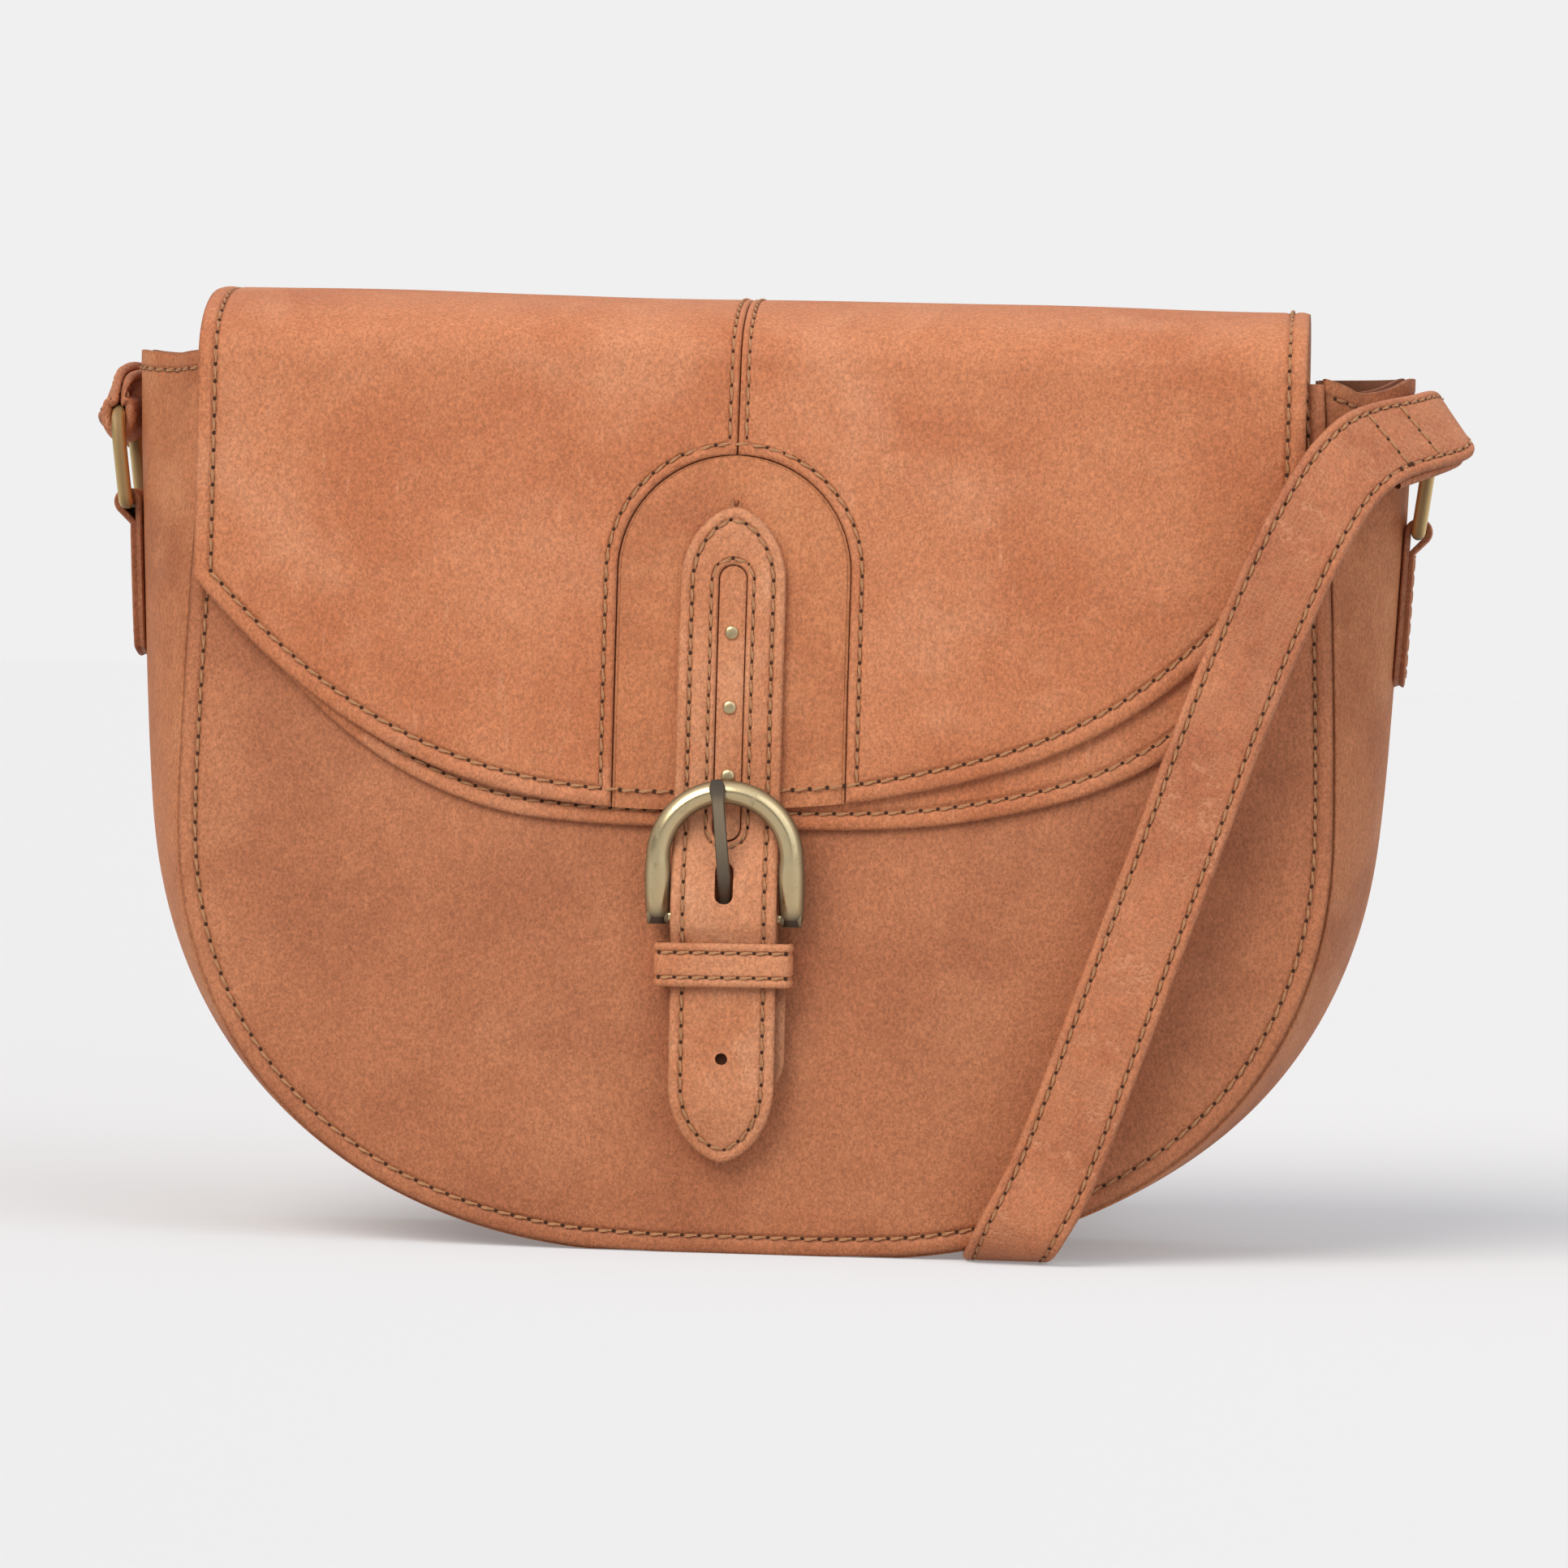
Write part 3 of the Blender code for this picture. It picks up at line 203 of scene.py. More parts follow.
THREAD_REACH = 0.82
THREAD_SINK = 0.00026
THREAD_SLANT = 0.12
THREAD_STAND = 0.9 * THREAD_RADIUS
HOLE_RADIUS = 0.00056
HOLE_FOOT = 0.8 * HOLE_RADIUS
HOLE_DEPTH = 0.35 * HOLE_RADIUS
ROWS_SKIPPED = 4  # rows left out next to the table, where they would lie closer than the leather's relief
RIM_STEP = 0.001
BOX_STEP = 0.002
RIM_PLACES = (0.0, 0.0005, 0.0011, 0.0019, 0.0028, 0.0036, 0.0043, 0.0050, 0.0060, 0.0075)
RIM_ROLL_MM = (0.50, 1.5)
RIM_SWELLS_MM = ((0.14, 2.4, 1.1), (-0.36, 4.3, 0.95))


def half_width(z):
    """Half width of the D-shaped body at height z."""
    widest = BODY_WIDTH / 2
    flat = BASE_FLAT / 2
    if z <= WIDEST_HEIGHT:
        fall = max(1 - z / WIDEST_HEIGHT, 0)
        return flat + (widest - flat) * max(1 - fall**OUTLINE_POWER, 0) ** (1 / OUTLINE_POWER)
    climb = (z - WIDEST_HEIGHT) / (PANEL_HEIGHT - WIDEST_HEIGHT)
    return widest - (widest - MOUTH_WIDTH / 2) * climb**MOUTH_TAPER_POWER


def dome(x, z):
    """Share of the crown at a point of a panel: 1 in the middle, 0 all round the edge."""
    mid = PANEL_HEIGHT / 2
    across = min(abs(x) / half_width(max(z, 0)), 1)
    up = min(abs(z - mid) / mid, 1)
    return (1 - across**CROWN_POWER) * (1 - up**CROWN_POWER)


def ripple(x, z):
    """The slack of the hide, shared by every layer in front so that they stay seated."""
    wave = noise.noise(Vector((x, 0.3, z)) / RIPPLE_LENGTH)
    fade = min(max((FOLD_HEIGHT - z) / RIPPLE_FADE, 0), 1)
    return RIPPLE_DEPTH * wave * fade * (RIPPLE_AT_EDGE + (1 - RIPPLE_AT_EDGE) * dome(x, z))


def front_y(x, z, lift):
    """Y of a layer that lies a given lift in front of the front panel."""
    return -(BODY_DEPTH / 2 + FRONT_CROWN * dome(x, z) + lift + ripple(x, z))


def outline_heights(lower, upper):
    """Heights of the outline's rows, close together where it turns under the bag."""
    power = 2 / OUTLINE_POWER
    turns = [0] + [math.pi / 2 * (row + ROWS_SKIPPED) / (lower + ROWS_SKIPPED) for row in range(1, lower)]
    low = [WIDEST_HEIGHT * (1 - math.cos(turn) ** power) for turn in turns]
    climb = (PANEL_HEIGHT - WIDEST_HEIGHT) / upper
    return low + [WIDEST_HEIGHT + climb * row for row in range(upper + 1)]


def outline_rows(heights, inset=0.0):
    """(half width, height) up the right side, moved inwards along the outline's normals."""
    points = [(half_width(z), z) for z in heights]
    rows = []
    for index, (x, z) in enumerate(points):
        if index == 0:
            normal = (0.0, -1.0)
        elif index == len(points) - 1:
            normal = (1.0, 0.0)
        else:
            (xa, za), (xb, zb) = points[index - 1], points[index + 1]
            length = math.hypot(xb - xa, zb - za)
            normal = ((zb - za) / length, -(xb - xa) / length)
        rows.append((x - normal[0] * inset, z - normal[1] * inset))
    return rows


def add_piece(name, bm, mat, body):
    """Turn a finished bmesh into a piece that rides on a body of the frame, or bends between two:
    the body is then both names and the places where the bend starts and ends."""
    mesh = bpy.data.meshes.new(name)
    bm.to_mesh(mesh)
    bm.free()
    mesh.materials.append(mat)
    mesh.shade_smooth()
    mesh.set_sharp_from_angle(angle=SHARP_ANGLE)
    piece = bpy.data.objects.new(name, mesh)
    bpy.context.scene.collection.objects.link(piece)
    if isinstance(body, str):
        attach(piece, body)
    else:
        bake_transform(piece, *body)
    return piece


def graded(length, cells, both=True):
    """Shares from 0 to 1 of a length, close together near the sewn edges where the leather rolls over."""
    far = [length - at for at in reversed(RIM_PLACES)] if both else [length]
    count = cells + 2 - len(RIM_PLACES) - len(far)
    span = (far[0] - RIM_PLACES[-1]) / count
    middle = [RIM_PLACES[-1] + span * n for n in range(1, count)]
    return [at / length for at in [*RIM_PLACES, *middle, *far]]


def puff(rim_mm):
    """Height in metres of the turned, sewn edge: rolled over at the rim, drawn in at the thread."""
    depth, reach = RIM_ROLL_MM
    rise = -depth * max(1 - rim_mm / reach, 0) ** 2
    for height, middle, spread in RIM_SWELLS_MM:
        rise += height * math.exp(-((rim_mm - middle) / spread) ** 2)
    return rise / 1000


def roll_over(bm, amount=1):
    """Shape the turned edges by each vertex's distance to them."""
    rim = bm.verts.layers.float["rim_mm"]
    for vert in bm.verts:
        vert.co += vert.normal * amount * puff(vert[rim])


def edge_distance(tree, point):
    """Distance to an edge kept as close points: to the line between the two nearest ones."""
    found = tree.find_n(point, 2)
    near, second = found[0][0], found[-1][0]
    gap = (second - near).length
    if not 0 < gap < 1.5 * RIM_STEP:
        return found[0][2]
    share = min(max((point - near).dot(second - near) / gap**2, 0), 1)
    return (point - near.lerp(second, share)).length


def roll_edges(bm, outward, edges, shaped=True):
    """Face a sheet outwards, keep each vertex's distance to its sewn edges for the material, and roll
    the edges over. Each edge is its points and the distance of its seam."""
    bm.normal_update()
    facing = sum((face.normal * face.calc_area() for face in bm.faces), Vector())
    if facing.dot(Vector(outward)) < 0:
        bmesh.ops.reverse_faces(bm, faces=bm.faces)
        bm.normal_update()
    trees = []
    for points, inset in edges:
        tree = kdtree.KDTree(len(points))
        for index, point in enumerate(points):
            tree.insert(point, index)
        tree.balance()
        trees.append((tree, 1000 * STITCH_INSET / inset))
    rim = bm.verts.layers.float.new("rim_mm")
    for vert in bm.verts:
        vert[rim] = min(edge_distance(tree, vert.co) * scale for tree, scale in trees)
    if shaped:
        roll_over(bm)
    return bm


def shape_grid(bm, columns, rows, place, layer=None):
    """Add a grid and put each vertex where place(column, row) says. With a layer, place also gives
    the vertex's value in it."""
    kept = bm.verts.layers.float.new(layer) if layer else None
    corners = bmesh.ops.create_grid(bm, x_segments=columns, y_segments=rows, size=1)["verts"]
    for vert in corners:
        at = place(round((vert.co.x + 1) / 2 * columns), round((vert.co.y + 1) / 2 * rows))
        if layer:
            vert.co, vert[kept] = at
        else:
            vert.co = at
    return corners


def hide_sheet(columns, rows, place, outward, rim, shaped=True, seam=STITCH_INSET, more=()):
    """A sheet of leather on a grid; place(column, row) gives its outer face."""
    bm = bmesh.new()
    shape_grid(bm, columns, rows, place)
    bmesh.ops.remove_doubles(bm, verts=bm.verts, dist=WELD)
    return roll_edges(bm, outward, ((rim, seam), *more), shaped)


def soften_edges(piece, width, segments):
    soften = piece.modifiers.new("Turned edge", "BEVEL")
    soften.width = width
    soften.segments = segments
    soften.limit_method = "ANGLE"
    soften.angle_limit = SHARP_ANGLE


def wall(piece, thickness, rounding=EDGE_ROUND, offset=-1):
    """Give a sheet its thickness, inwards or to both sides, and turn its cut edges over."""
    solid = piece.modifiers.new("Leather thickness", "SOLIDIFY")
    solid.thickness = thickness
    solid.offset = offset
    soften_edges(piece, rounding, 3)


def dense(points, step=RIM_STEP):
    """The same line with a point at least every step."""
    line = [Vector(points[0])]
    for first, second in zip(points, points[1:]):
        first, second = Vector(first), Vector(second)
        count = max(1, math.ceil((second - first).length / step))
        line += [first.lerp(second, n / count) for n in range(1, count + 1)]
    return line


# Nubuck is hide buffed to a short nap. It shows soft clouds of colour, pores, fine scratches and a
# pressed groove along the stitches, and its roughness is high and even. Its colour also carries painted
# shade: darker along the stitch groove and close to each cut edge. The pores and the nap are drawn a
# little coarser than real ones, so that they show in the render.

THREAD_TAN = "#b9875d"
HOLE_BROWN = "#42240f"
PORE_MM = 0.9
NAP_MM = 0.7
SCRATCH_MM = 2.2
WRINKLE_MM = 7.0
CRACKLE_MM = 1.3
WEAVE_MM = 1.11
FURROWS = ((0.1, 0.35, 0.0), 0.62)
SCRATCH_RUN = ((0.3, 0.5, 0.2), 0.16)
CRACKLE_SLOPE = (0.0, -0.46, 0.0)


def nubuck(name, dark, middle, light, cloud_mm=42.0, crackle=False):
    """Buffed hide in three tones; crackle adds the crossed creases of a strap bent by use."""
    mat = new_material(name)
    place = add_node(mat, "ShaderNodeTexCoord").outputs["Object"]
    furrowed, drawn = (
        add_node(mat, "ShaderNodeMapping", {"Vector": place, "Rotation": turn, "Scale": (1, 1, stretch)})
        for turn, stretch in (FURROWS, SCRATCH_RUN))
    at = {}
    for word, source, size_mm, detail, rough, warp in (
            ("clouds", place, cloud_mm, 4, 0.55, 0),
            ("drift", place, cloud_mm / 1.4, 3, 0.5, 0.4),
            ("patches", place, cloud_mm / 5, 4, 0.55, 0),
            ("nap", furrowed.outputs[0], NAP_MM, 3, 0.65, 0.9),
            ("scratches", drawn.outputs[0], SCRATCH_MM, 2, 0.5, 0),
            ("wrinkles", place, WRINKLE_MM, 3, 0.5, 0.8)):
        at[word] = add_node(mat, "ShaderNodeTexNoise", {
            "Vector": source, "Scale": 1000 / size_mm, "Detail": detail, "Roughness": rough,
            "Distortion": warp}).outputs[0]
    at["pores"] = add_node(mat, "ShaderNodeTexVoronoi", {
        "Vector": place, "Scale": 1000 / PORE_MM}).outputs["Distance"]
    looks = [
        ("cloudy", "clouds", 0.34, 0.60, 0, 1),
        ("drifting", "drift", 0.46, 0.76, 0, 0.42),
        ("pale", "patches", 0.48, 0.80, 0, 0.24),
        ("dull", "patches", 0.24, 0.46, 0.22, 0),
        ("scratched", "scratches", 0.66, 0.76, 0, 0.30),
        ("napped", "nap", 0.36, 0.64, 0.80, 1.12),
        ("porous", "pores", 0.05, 0.75, 0.89, 1.06),
        # groove and edge mark where painted shade darkens the colour: along the stitch groove and at each cut
        # edge
        ("groove", "off_seam", 0.1, 1.3, 1, 0),
        ("edge", "rim", 0, 0.9, 1, 0),
        ("rough", "patches", 0.3, 0.7, 0.55, 0.68),
    ]
    if crackle:
        sloped = add_node(mat, "ShaderNodeMapping", {"Vector": place, "Rotation": CRACKLE_SLOPE})
        at["creases"] = add_node(mat, "ShaderNodeTexVoronoi", {
            "Vector": sloped.outputs[0], "Scale": 1000 / CRACKLE_MM, "Randomness": 0.35},
            feature="DISTANCE_TO_EDGE", distance="CHEBYCHEV").outputs["Distance"]
        looks += [("worn", "patches", 0.42, 0.60, 0, 1), ("creased", "creases", 0, 0.14, 1, 0)]
    at["rim"] = at["off_seam"] = add_node(mat, "ShaderNodeAttribute", attribute_name="rim_mm").outputs["Fac"]
    for kind in ("SUBTRACT", "ABSOLUTE"):
        at["off_seam"] = add_node(mat, "ShaderNodeMath", {
            0: at["off_seam"], 1: 1000 * STITCH_INSET}, operation=kind).outputs[0]

    share = {}
    for word, source, low, high, out_low, out_high in looks:
        share[word] = add_node(mat, "ShaderNodeMapRange", {
            "Value": at[source], "From Min": low, "From Max": high, "To Min": out_low, "To Max": out_high,
        }, interpolation_type="SMOOTHSTEP").outputs[0]

    colour = linear(dark)
    for word, tone in (("cloudy", middle), ("drifting", light), ("pale", light), ("dull", dark),
                       ("scratched", light)):
        colour = add_node(mat, "ShaderNodeMix", {0: share[word], 6: colour, 7: linear(tone)},
                          data_type="RGBA").outputs[2]
    grain = add_node(mat, "ShaderNodeMath", {0: share["napped"], 1: share["porous"]}, operation="MULTIPLY")
    # painted shade: the colour is darkened along the stitch groove and near each cut edge
    shade = 1.0
    for word, depth in (("groove", 0.16), ("edge", 0.30)):
        shade = add_node(mat, "ShaderNodeMath", {0: share[word], 1: -depth, 2: shade},
                         operation="MULTIPLY_ADD").outputs[0]
    for value in (grain.outputs[0], shade):
        colour = add_node(mat, "ShaderNodeHueSaturation", {"Value": value, "Color": colour}).outputs[0]

    heights = [(at["pores"], 0.35), (at["nap"], 0.85), (at["wrinkles"], 1.3), (share["groove"], -1.1)]
    if crackle:
        lines = add_node(mat, "ShaderNodeMath", {0: share["creased"], 1: share["worn"]}, operation="MULTIPLY")
        for source, strength, tone in ((share["worn"], 0.35, dark), (lines.outputs[0], 0.6, light)):
            amount = add_node(mat, "ShaderNodeMath", {0: source, 1: strength}, operation="MULTIPLY")
            colour = add_node(mat, "ShaderNodeMix", {0: amount.outputs[0], 6: colour, 7: linear(tone)},
                              data_type="RGBA").outputs[2]
        heights.append((lines.outputs[0], -0.6))
    height = 0.0
    for source, strength in heights:
        height = add_node(mat, "ShaderNodeMath", {0: source, 1: strength, 2: height},
                          operation="MULTIPLY_ADD").outputs[0]
    relief = add_node(mat, "ShaderNodeBump", {"Height": height, "Strength": 0.6, "Distance": 0.0004})
    return finish_material(mat, add_node(mat, "ShaderNodeBsdfPrincipled", {
        "Base Color": colour, "Roughness": share["rough"], "IOR": 1.45, "Specular IOR Level": 0.32,
        "Normal": relief.outputs[0], "Sheen Weight": 0.16, "Sheen Roughness": 0.5,
        "Sheen Tint": linear(light)}))


def matt_fibre(name, colour, rough):
    """Waxed thread or cotton: one dull colour, mottled by its fibres, drawn as coarse as they show."""
    mat = new_material(name)
    place = add_node(mat, "ShaderNodeTexCoord").outputs["Object"]
    grain = add_node(mat, "ShaderNodeTexNoise", {"Vector": place, "Scale": 1000 / WEAVE_MM, "Detail": 2.0})
    low, high = ([min(channel * share, 1) for channel in linear(colour)[:3]] + [1.0]
                 for share in (0.72, 1.22))
    tone = add_node(mat, "ShaderNodeMix", {0: grain.outputs[0], 6: low, 7: high}, data_type="RGBA")
    relief = add_node(mat, "ShaderNodeBump", {
        "Height": grain.outputs[0], "Strength": 0.4, "Distance": 0.0001})
    return finish_material(mat, add_node(mat, "ShaderNodeBsdfPrincipled", {
        "Base Color": tone.outputs[2], "Roughness": rough, "Normal": relief.outputs[0]}))


thread_finish = matt_fibre("waxed_two_ply_thread", THREAD_TAN, 0.75)
hole_finish = matt_fibre("needle_hole_shadow", HOLE_BROWN, 0.95)


def stations_along(line, pitch):
    """Points at an even pitch along a line, with the pitch adjusted to end on its end."""
    lengths = [0.0]
    for first, second in zip(line, line[1:]):
        lengths.append(lengths[-1] + (second - first).length)
    count = max(2, round(lengths[-1] / pitch))
    places, spot = [], 0
    for n in range(count + 1):
        want = lengths[-1] * n / count
        while spot < len(line) - 2 and lengths[spot + 1] < want:
            spot += 1
        share = (want - lengths[spot]) / max(lengths[spot + 1] - lengths[spot], 1e-9)
        places.append(line[spot].lerp(line[spot + 1], min(max(share, 0), 1)))
    return places


# Of a ply, in thread radii: its own radius, its distance from the middle, its twist and its arch.
PLY_RADIUS = 0.62
PLY_SPREAD = 0.5
PLY_TWIST = 1.9
PLY_START = 0.6
PLY_ARCH = 0.35


def ply_template():
    """One stitch of unit length along X: two plies laid side by side with a slight twist, in thread radii."""
    bm = bmesh.new()
    for side in (-1, 1):
        ply = bmesh.ops.create_uvsphere(bm, u_segments=6, v_segments=5, radius=1)["verts"]
        bmesh.ops.transform(bm, matrix=Matrix.Rotation(math.pi / 2, 4, "Y"), verts=ply)
        for vert in ply:
            along = vert.co.x
            vert.co = Vector((
                along / 2,
                vert.co.y * PLY_RADIUS + side * PLY_SPREAD * math.cos(along * PLY_TWIST + PLY_START),
                vert.co.z * PLY_RADIUS + PLY_ARCH * side * along - PLY_ARCH * along * along))
    data = bpy.data.meshes.new("ply")
    bm.to_mesh(data)
    bm.free()
    return data


stitch_shape = ply_template()


def sew(name, line, normal_at, body, pitch=STITCH_PITCH, sink=THREAD_SINK):
    """A row of stitches along a line on a surface. normal_at gives the way out at a place, and sink
    how deep the row is drawn into the leather."""
    places = stations_along(line, pitch)
    thread, holes = bmesh.new(), bmesh.new()
    for first, second in zip(places, places[1:]):
        middle = (first + second) / 2
        out = normal_at(middle)
        along = (second - first).normalized()
        along = (along + out.cross(along).normalized() * THREAD_SLANT).normalized()
        side = out.cross(along).normalized()
        before = len(thread.verts)
        thread.from_mesh(stitch_shape)
        thread.verts.ensure_lookup_table()
        turn = Matrix((along, side, out)).transposed().to_4x4()
        size = Matrix.Diagonal(((second - first).length * THREAD_REACH, THREAD_RADIUS, THREAD_RADIUS, 1))
        set_in = Matrix.Translation(middle + out * (THREAD_STAND - sink)) @ turn @ size
        for vert in thread.verts[before:]:
            vert.co = set_in @ vert.co
    for spot in places:
        out = normal_at(spot)
        turn = Vector((0, 0, 1)).rotation_difference(out).to_matrix().to_4x4()
        bmesh.ops.create_cone(
            holes, cap_ends=True, segments=8, radius1=HOLE_RADIUS, radius2=HOLE_FOOT, depth=HOLE_DEPTH,
            matrix=Matrix.Translation(spot - out * sink) @ turn)
    add_piece(name + "_thread", thread, thread_finish, body)
    add_piece(name + "_needle_holes", holes, hole_finish, body)


def normal_of(surface, step=0.0008):
    """The outward normal of a surface y = f(x, z) that faces the front."""
    def at(place):
        across = surface(place.x + step, place.z) - surface(place.x - step, place.z)
        up = surface(place.x, place.z + step) - surface(place.x, place.z - step)
        return Vector((across / (2 * step), -1, up / (2 * step))).normalized()
    return at


fine_heights = outline_heights(PANEL_LOWER_ROWS, PANEL_UPPER_ROWS)
fine_rows = outline_rows(fine_heights)
PANEL_ROWS = len(fine_rows) - 1
panel_shares = graded(BODY_WIDTH, PANEL_CELLS)


def whole_outline(inset, y_at):
    """The D from the left mouth corner under the bag to the right one."""
    side = outline_rows(fine_heights, inset)
    line = [(-x, z) for x, z in reversed(side)] + side
    return [Vector((x, y_at(x, z), z)) for x, z in line]


def panel_grid(face):
    """Where a panel's vertices lie, on a face y = f(x, z)."""
    def place(column, row):
        half, z = fine_rows[row]
        x = (2 * panel_shares[column] - 1) * half
        return Vector((x, face(x, z), z))
    return place


def front_face(x, z):
    return front_y(x, z, 0)


body_nubuck = nubuck("cognac_nubuck_body", "#ae6b48", "#bc7751", "#cb8860")
front_panel = add_piece("front_panel_leather", hide_sheet(
    PANEL_CELLS, PANEL_ROWS, panel_grid(front_face), (0, -1, 0), dense(whole_outline(0, front_face))),
    body_nubuck, "bag")
wall(front_panel, PANEL_THICKNESS)
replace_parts(front_panel, "front_panel")
sew("front_panel_seam", whole_outline(STITCH_INSET, front_face), normal_of(front_face), "bag")


# Back panel: the same D of cognac nubuck, flatter because nothing pushes it out, sewn to the gusset
# with the same stitch.

def back_face(x, z):
    return BODY_DEPTH / 2 + BACK_CROWN * dome(x, z)


def back_normal(place):
    mirrored = normal_of(lambda x, z: -back_face(x, z))(place)
    return Vector((mirrored.x, -mirrored.y, mirrored.z))


back_panel = add_piece("back_panel_leather", hide_sheet(
    PANEL_CELLS, PANEL_ROWS, panel_grid(back_face), (0, 1, 0), dense(whole_outline(0, back_face))),
    body_nubuck, "bag")
wall(back_panel, PANEL_THICKNESS)
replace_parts(back_panel, "back_panel")
sew("back_panel_seam", whole_outline(STITCH_INSET, back_face), back_normal, "bag")


# Gusset: one long strip of the same nubuck from mouth corner to mouth corner under the bag. It bulges
# like a bellows towards the mouth, where its top is turned in and hemmed with a row of stitches.

GUSSET_THICKNESS = 0.0016
GUSSET_BULGE = 0.0215
GUSSET_HEM_RISE = 0.003
BELLOWS_POWER = 2.3
GUSSET_CELLS = 44
GUSSET_EDGE = 0.0004
HEM_DEPTH = 0.0045
HEM_SINK = -0.00012
HEM_STEPS = 20
PLEAT_DEPTH = 0.0030
PLEAT_WIDTH = 0.0055
PLEAT_PLACE = -0.026
PLEAT_LENGTH = 0.045
PLEAT_FULL_BULGE = 0.01
HEM_DIP = 0.0045
LEFT_DIP_SHARE = 0.25
CREASE_DEPTH = 0.0010
CREASE_LOW_SHARE = 0.3
CREASE_WAVES = (14, 30, 22)
STEEPEST_SHARE = 0.97
flange_y = BODY_DEPTH / 2 - PANEL_THICKNESS - SEAT_GAP - GUSSET_THICKNESS / 2


def bulge(z):
    """How far the bellows' crease stands out of the outline at height z."""
    return GUSSET_BULGE * min(max(z, 0) / PANEL_HEIGHT, 1)


def gusset_path():
    """(x, z, way out in x, way out in z) from the left mouth corner under the bag to the right one."""
    outer = outline_rows(fine_heights)
    inner = outline_rows(fine_heights, PANEL_THICKNESS)
    side = [(x, z, (x - xi) / PANEL_THICKNESS, (z - zi) / PANEL_THICKNESS)
            for (x, z), (xi, zi) in zip(outer, inner)]
    x, _, nx, nz = side[-1]
    side.append((x, PANEL_HEIGHT + GUSSET_HEM_RISE, nx, nz))
    return [(-x, z, -nx, nz) for x, z, nx, nz in reversed(side)] + side


gusset_line = gusset_path()
GUSSET_ROWS = len(gusset_line) - 1


def gusset_at(x, z, nx, nz, share, inset=0.0):
    """A point of the strip, by its share of the half depth (-1 front, 1 back)."""
    y = share * flange_y
    from_pleat = (y - PLEAT_PLACE) / PLEAT_WIDTH
    near_mouth = min(max((z - PANEL_HEIGHT + PLEAT_LENGTH) / PLEAT_LENGTH, 0), 1)
    pleat = math.exp(-from_pleat**2) * near_mouth**1.5 * min(bulge(z) / PLEAT_FULL_BULGE, 1)
    slack = noise.noise(Vector(at * wave for at, wave in zip((x, y, z), CREASE_WAVES))) * (1 - share**4)
    out = bulge(z) * (1 - abs(share) ** BELLOWS_POWER) - inset
    out += CREASE_DEPTH * slack * (CREASE_LOW_SHARE + near_mouth) - PLEAT_DEPTH * pleat
    dip = HEM_DIP * (1 if x > 0 else LEFT_DIP_SHARE) * near_mouth**3 * math.exp(-(from_pleat / 2) ** 2)
    return Vector((x + nx * out, y, max(z + nz * out - dip, GUSSET_THICKNESS / 2)))


def gusset_place(column, row):
    return gusset_at(*gusset_line[row], 2 * column / GUSSET_CELLS - 1)


def face_out(bm, way):
    """Make the faces agree, and the one that lies farthest that way face that way."""
    bmesh.ops.recalc_face_normals(bm, faces=bm.faces)
    bm.normal_update()
    outermost = max(bm.faces, key=lambda face: face.calc_center_median().dot(way))
    if outermost.normal.dot(way) < 0:
        bmesh.ops.reverse_faces(bm, faces=bm.faces)
        bm.normal_update()


gusset_nubuck = nubuck("cognac_nubuck_gusset", "#ac6742", "#c07a51", "#d49468", cloud_mm=30.0)
hem_rim = []
for end in (0, -1):
    hem_rim += dense([gusset_at(*gusset_line[end], n / HEM_STEPS) for n in range(-HEM_STEPS, HEM_STEPS + 1)])
gusset_mesh = hide_sheet(GUSSET_CELLS, GUSSET_ROWS, gusset_place, (0, 0, -1), hem_rim, shaped=False)
face_out(gusset_mesh, Vector((1, 0, 0)))
gusset = add_piece("gusset_leather", gusset_mesh, gusset_nubuck, "bag")
wall(gusset, GUSSET_THICKNESS, GUSSET_EDGE, 0)
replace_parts(gusset, "gusset")


def gusset_normal(place):
    side = math.copysign(1, place.x)
    share = max(min(place.y / flange_y, STEEPEST_SHARE), -STEEPEST_SHARE)
    slope = bulge(place.z) * BELLOWS_POWER * abs(share) ** (BELLOWS_POWER - 1) / flange_y
    return Vector((side, math.copysign(slope, place.y), 0)).normalized()


for word, (x, _, nx, nz) in (("left", gusset_line[1]), ("right", gusset_line[-2])):
    hem = [gusset_at(x, PANEL_HEIGHT + GUSSET_HEM_RISE - HEM_DEPTH, nx, nz, n / HEM_STEPS)
           for n in range(1 - HEM_STEPS, HEM_STEPS)]
    hem = [at + gusset_normal(at) * GUSSET_THICKNESS / 2 for at in hem]
    sew("gusset_hem_" + word, hem, gusset_normal, "bag", sink=HEM_SINK)


# Lining: chestnut cotton on the inside of each panel and of the gusset, sewn into their seams, so
# that the rough flesh side of the hide is covered.

LINING_THICKNESS = 0.0008
LINING_INSET = 0.0086
LINING_EDGE = 0.0002
LINING_CELLS = 28
LINING_DEPTH_SHARE = 0.955
GUSSET_LINING_CELLS = 24
GUSSET_LINING_GAP = 0.0008
GUSSET_LINING_SAG = 0.0016
lining_set_back = PANEL_THICKNESS + 2 * SEAT_GAP
lining_cloth = matt_fibre("chestnut_cotton_lining", "#8c573d", 0.9)
lining_rows = outline_rows(outline_heights(20, 14), LINING_INSET)
for side_word, side, crown in (("front", -1, FRONT_CROWN), ("back", 1, BACK_CROWN)):
    def lining_place(column, row, side=side, crown=crown):
        half, z = lining_rows[row]
        x = (2 * column / LINING_CELLS - 1) * half
        return Vector((x, side * (BODY_DEPTH / 2 + crown * dome(x, z) - lining_set_back), z))

    lining = add_piece(side_word + "_lining_cloth", hide_sheet(
        LINING_CELLS, len(lining_rows) - 1, lining_place, (0, side, 0), [lining_place(0, 0)], False),
        lining_cloth, "bag")
    wall(lining, LINING_THICKNESS, LINING_EDGE)
    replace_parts(lining, side_word + "_lining")


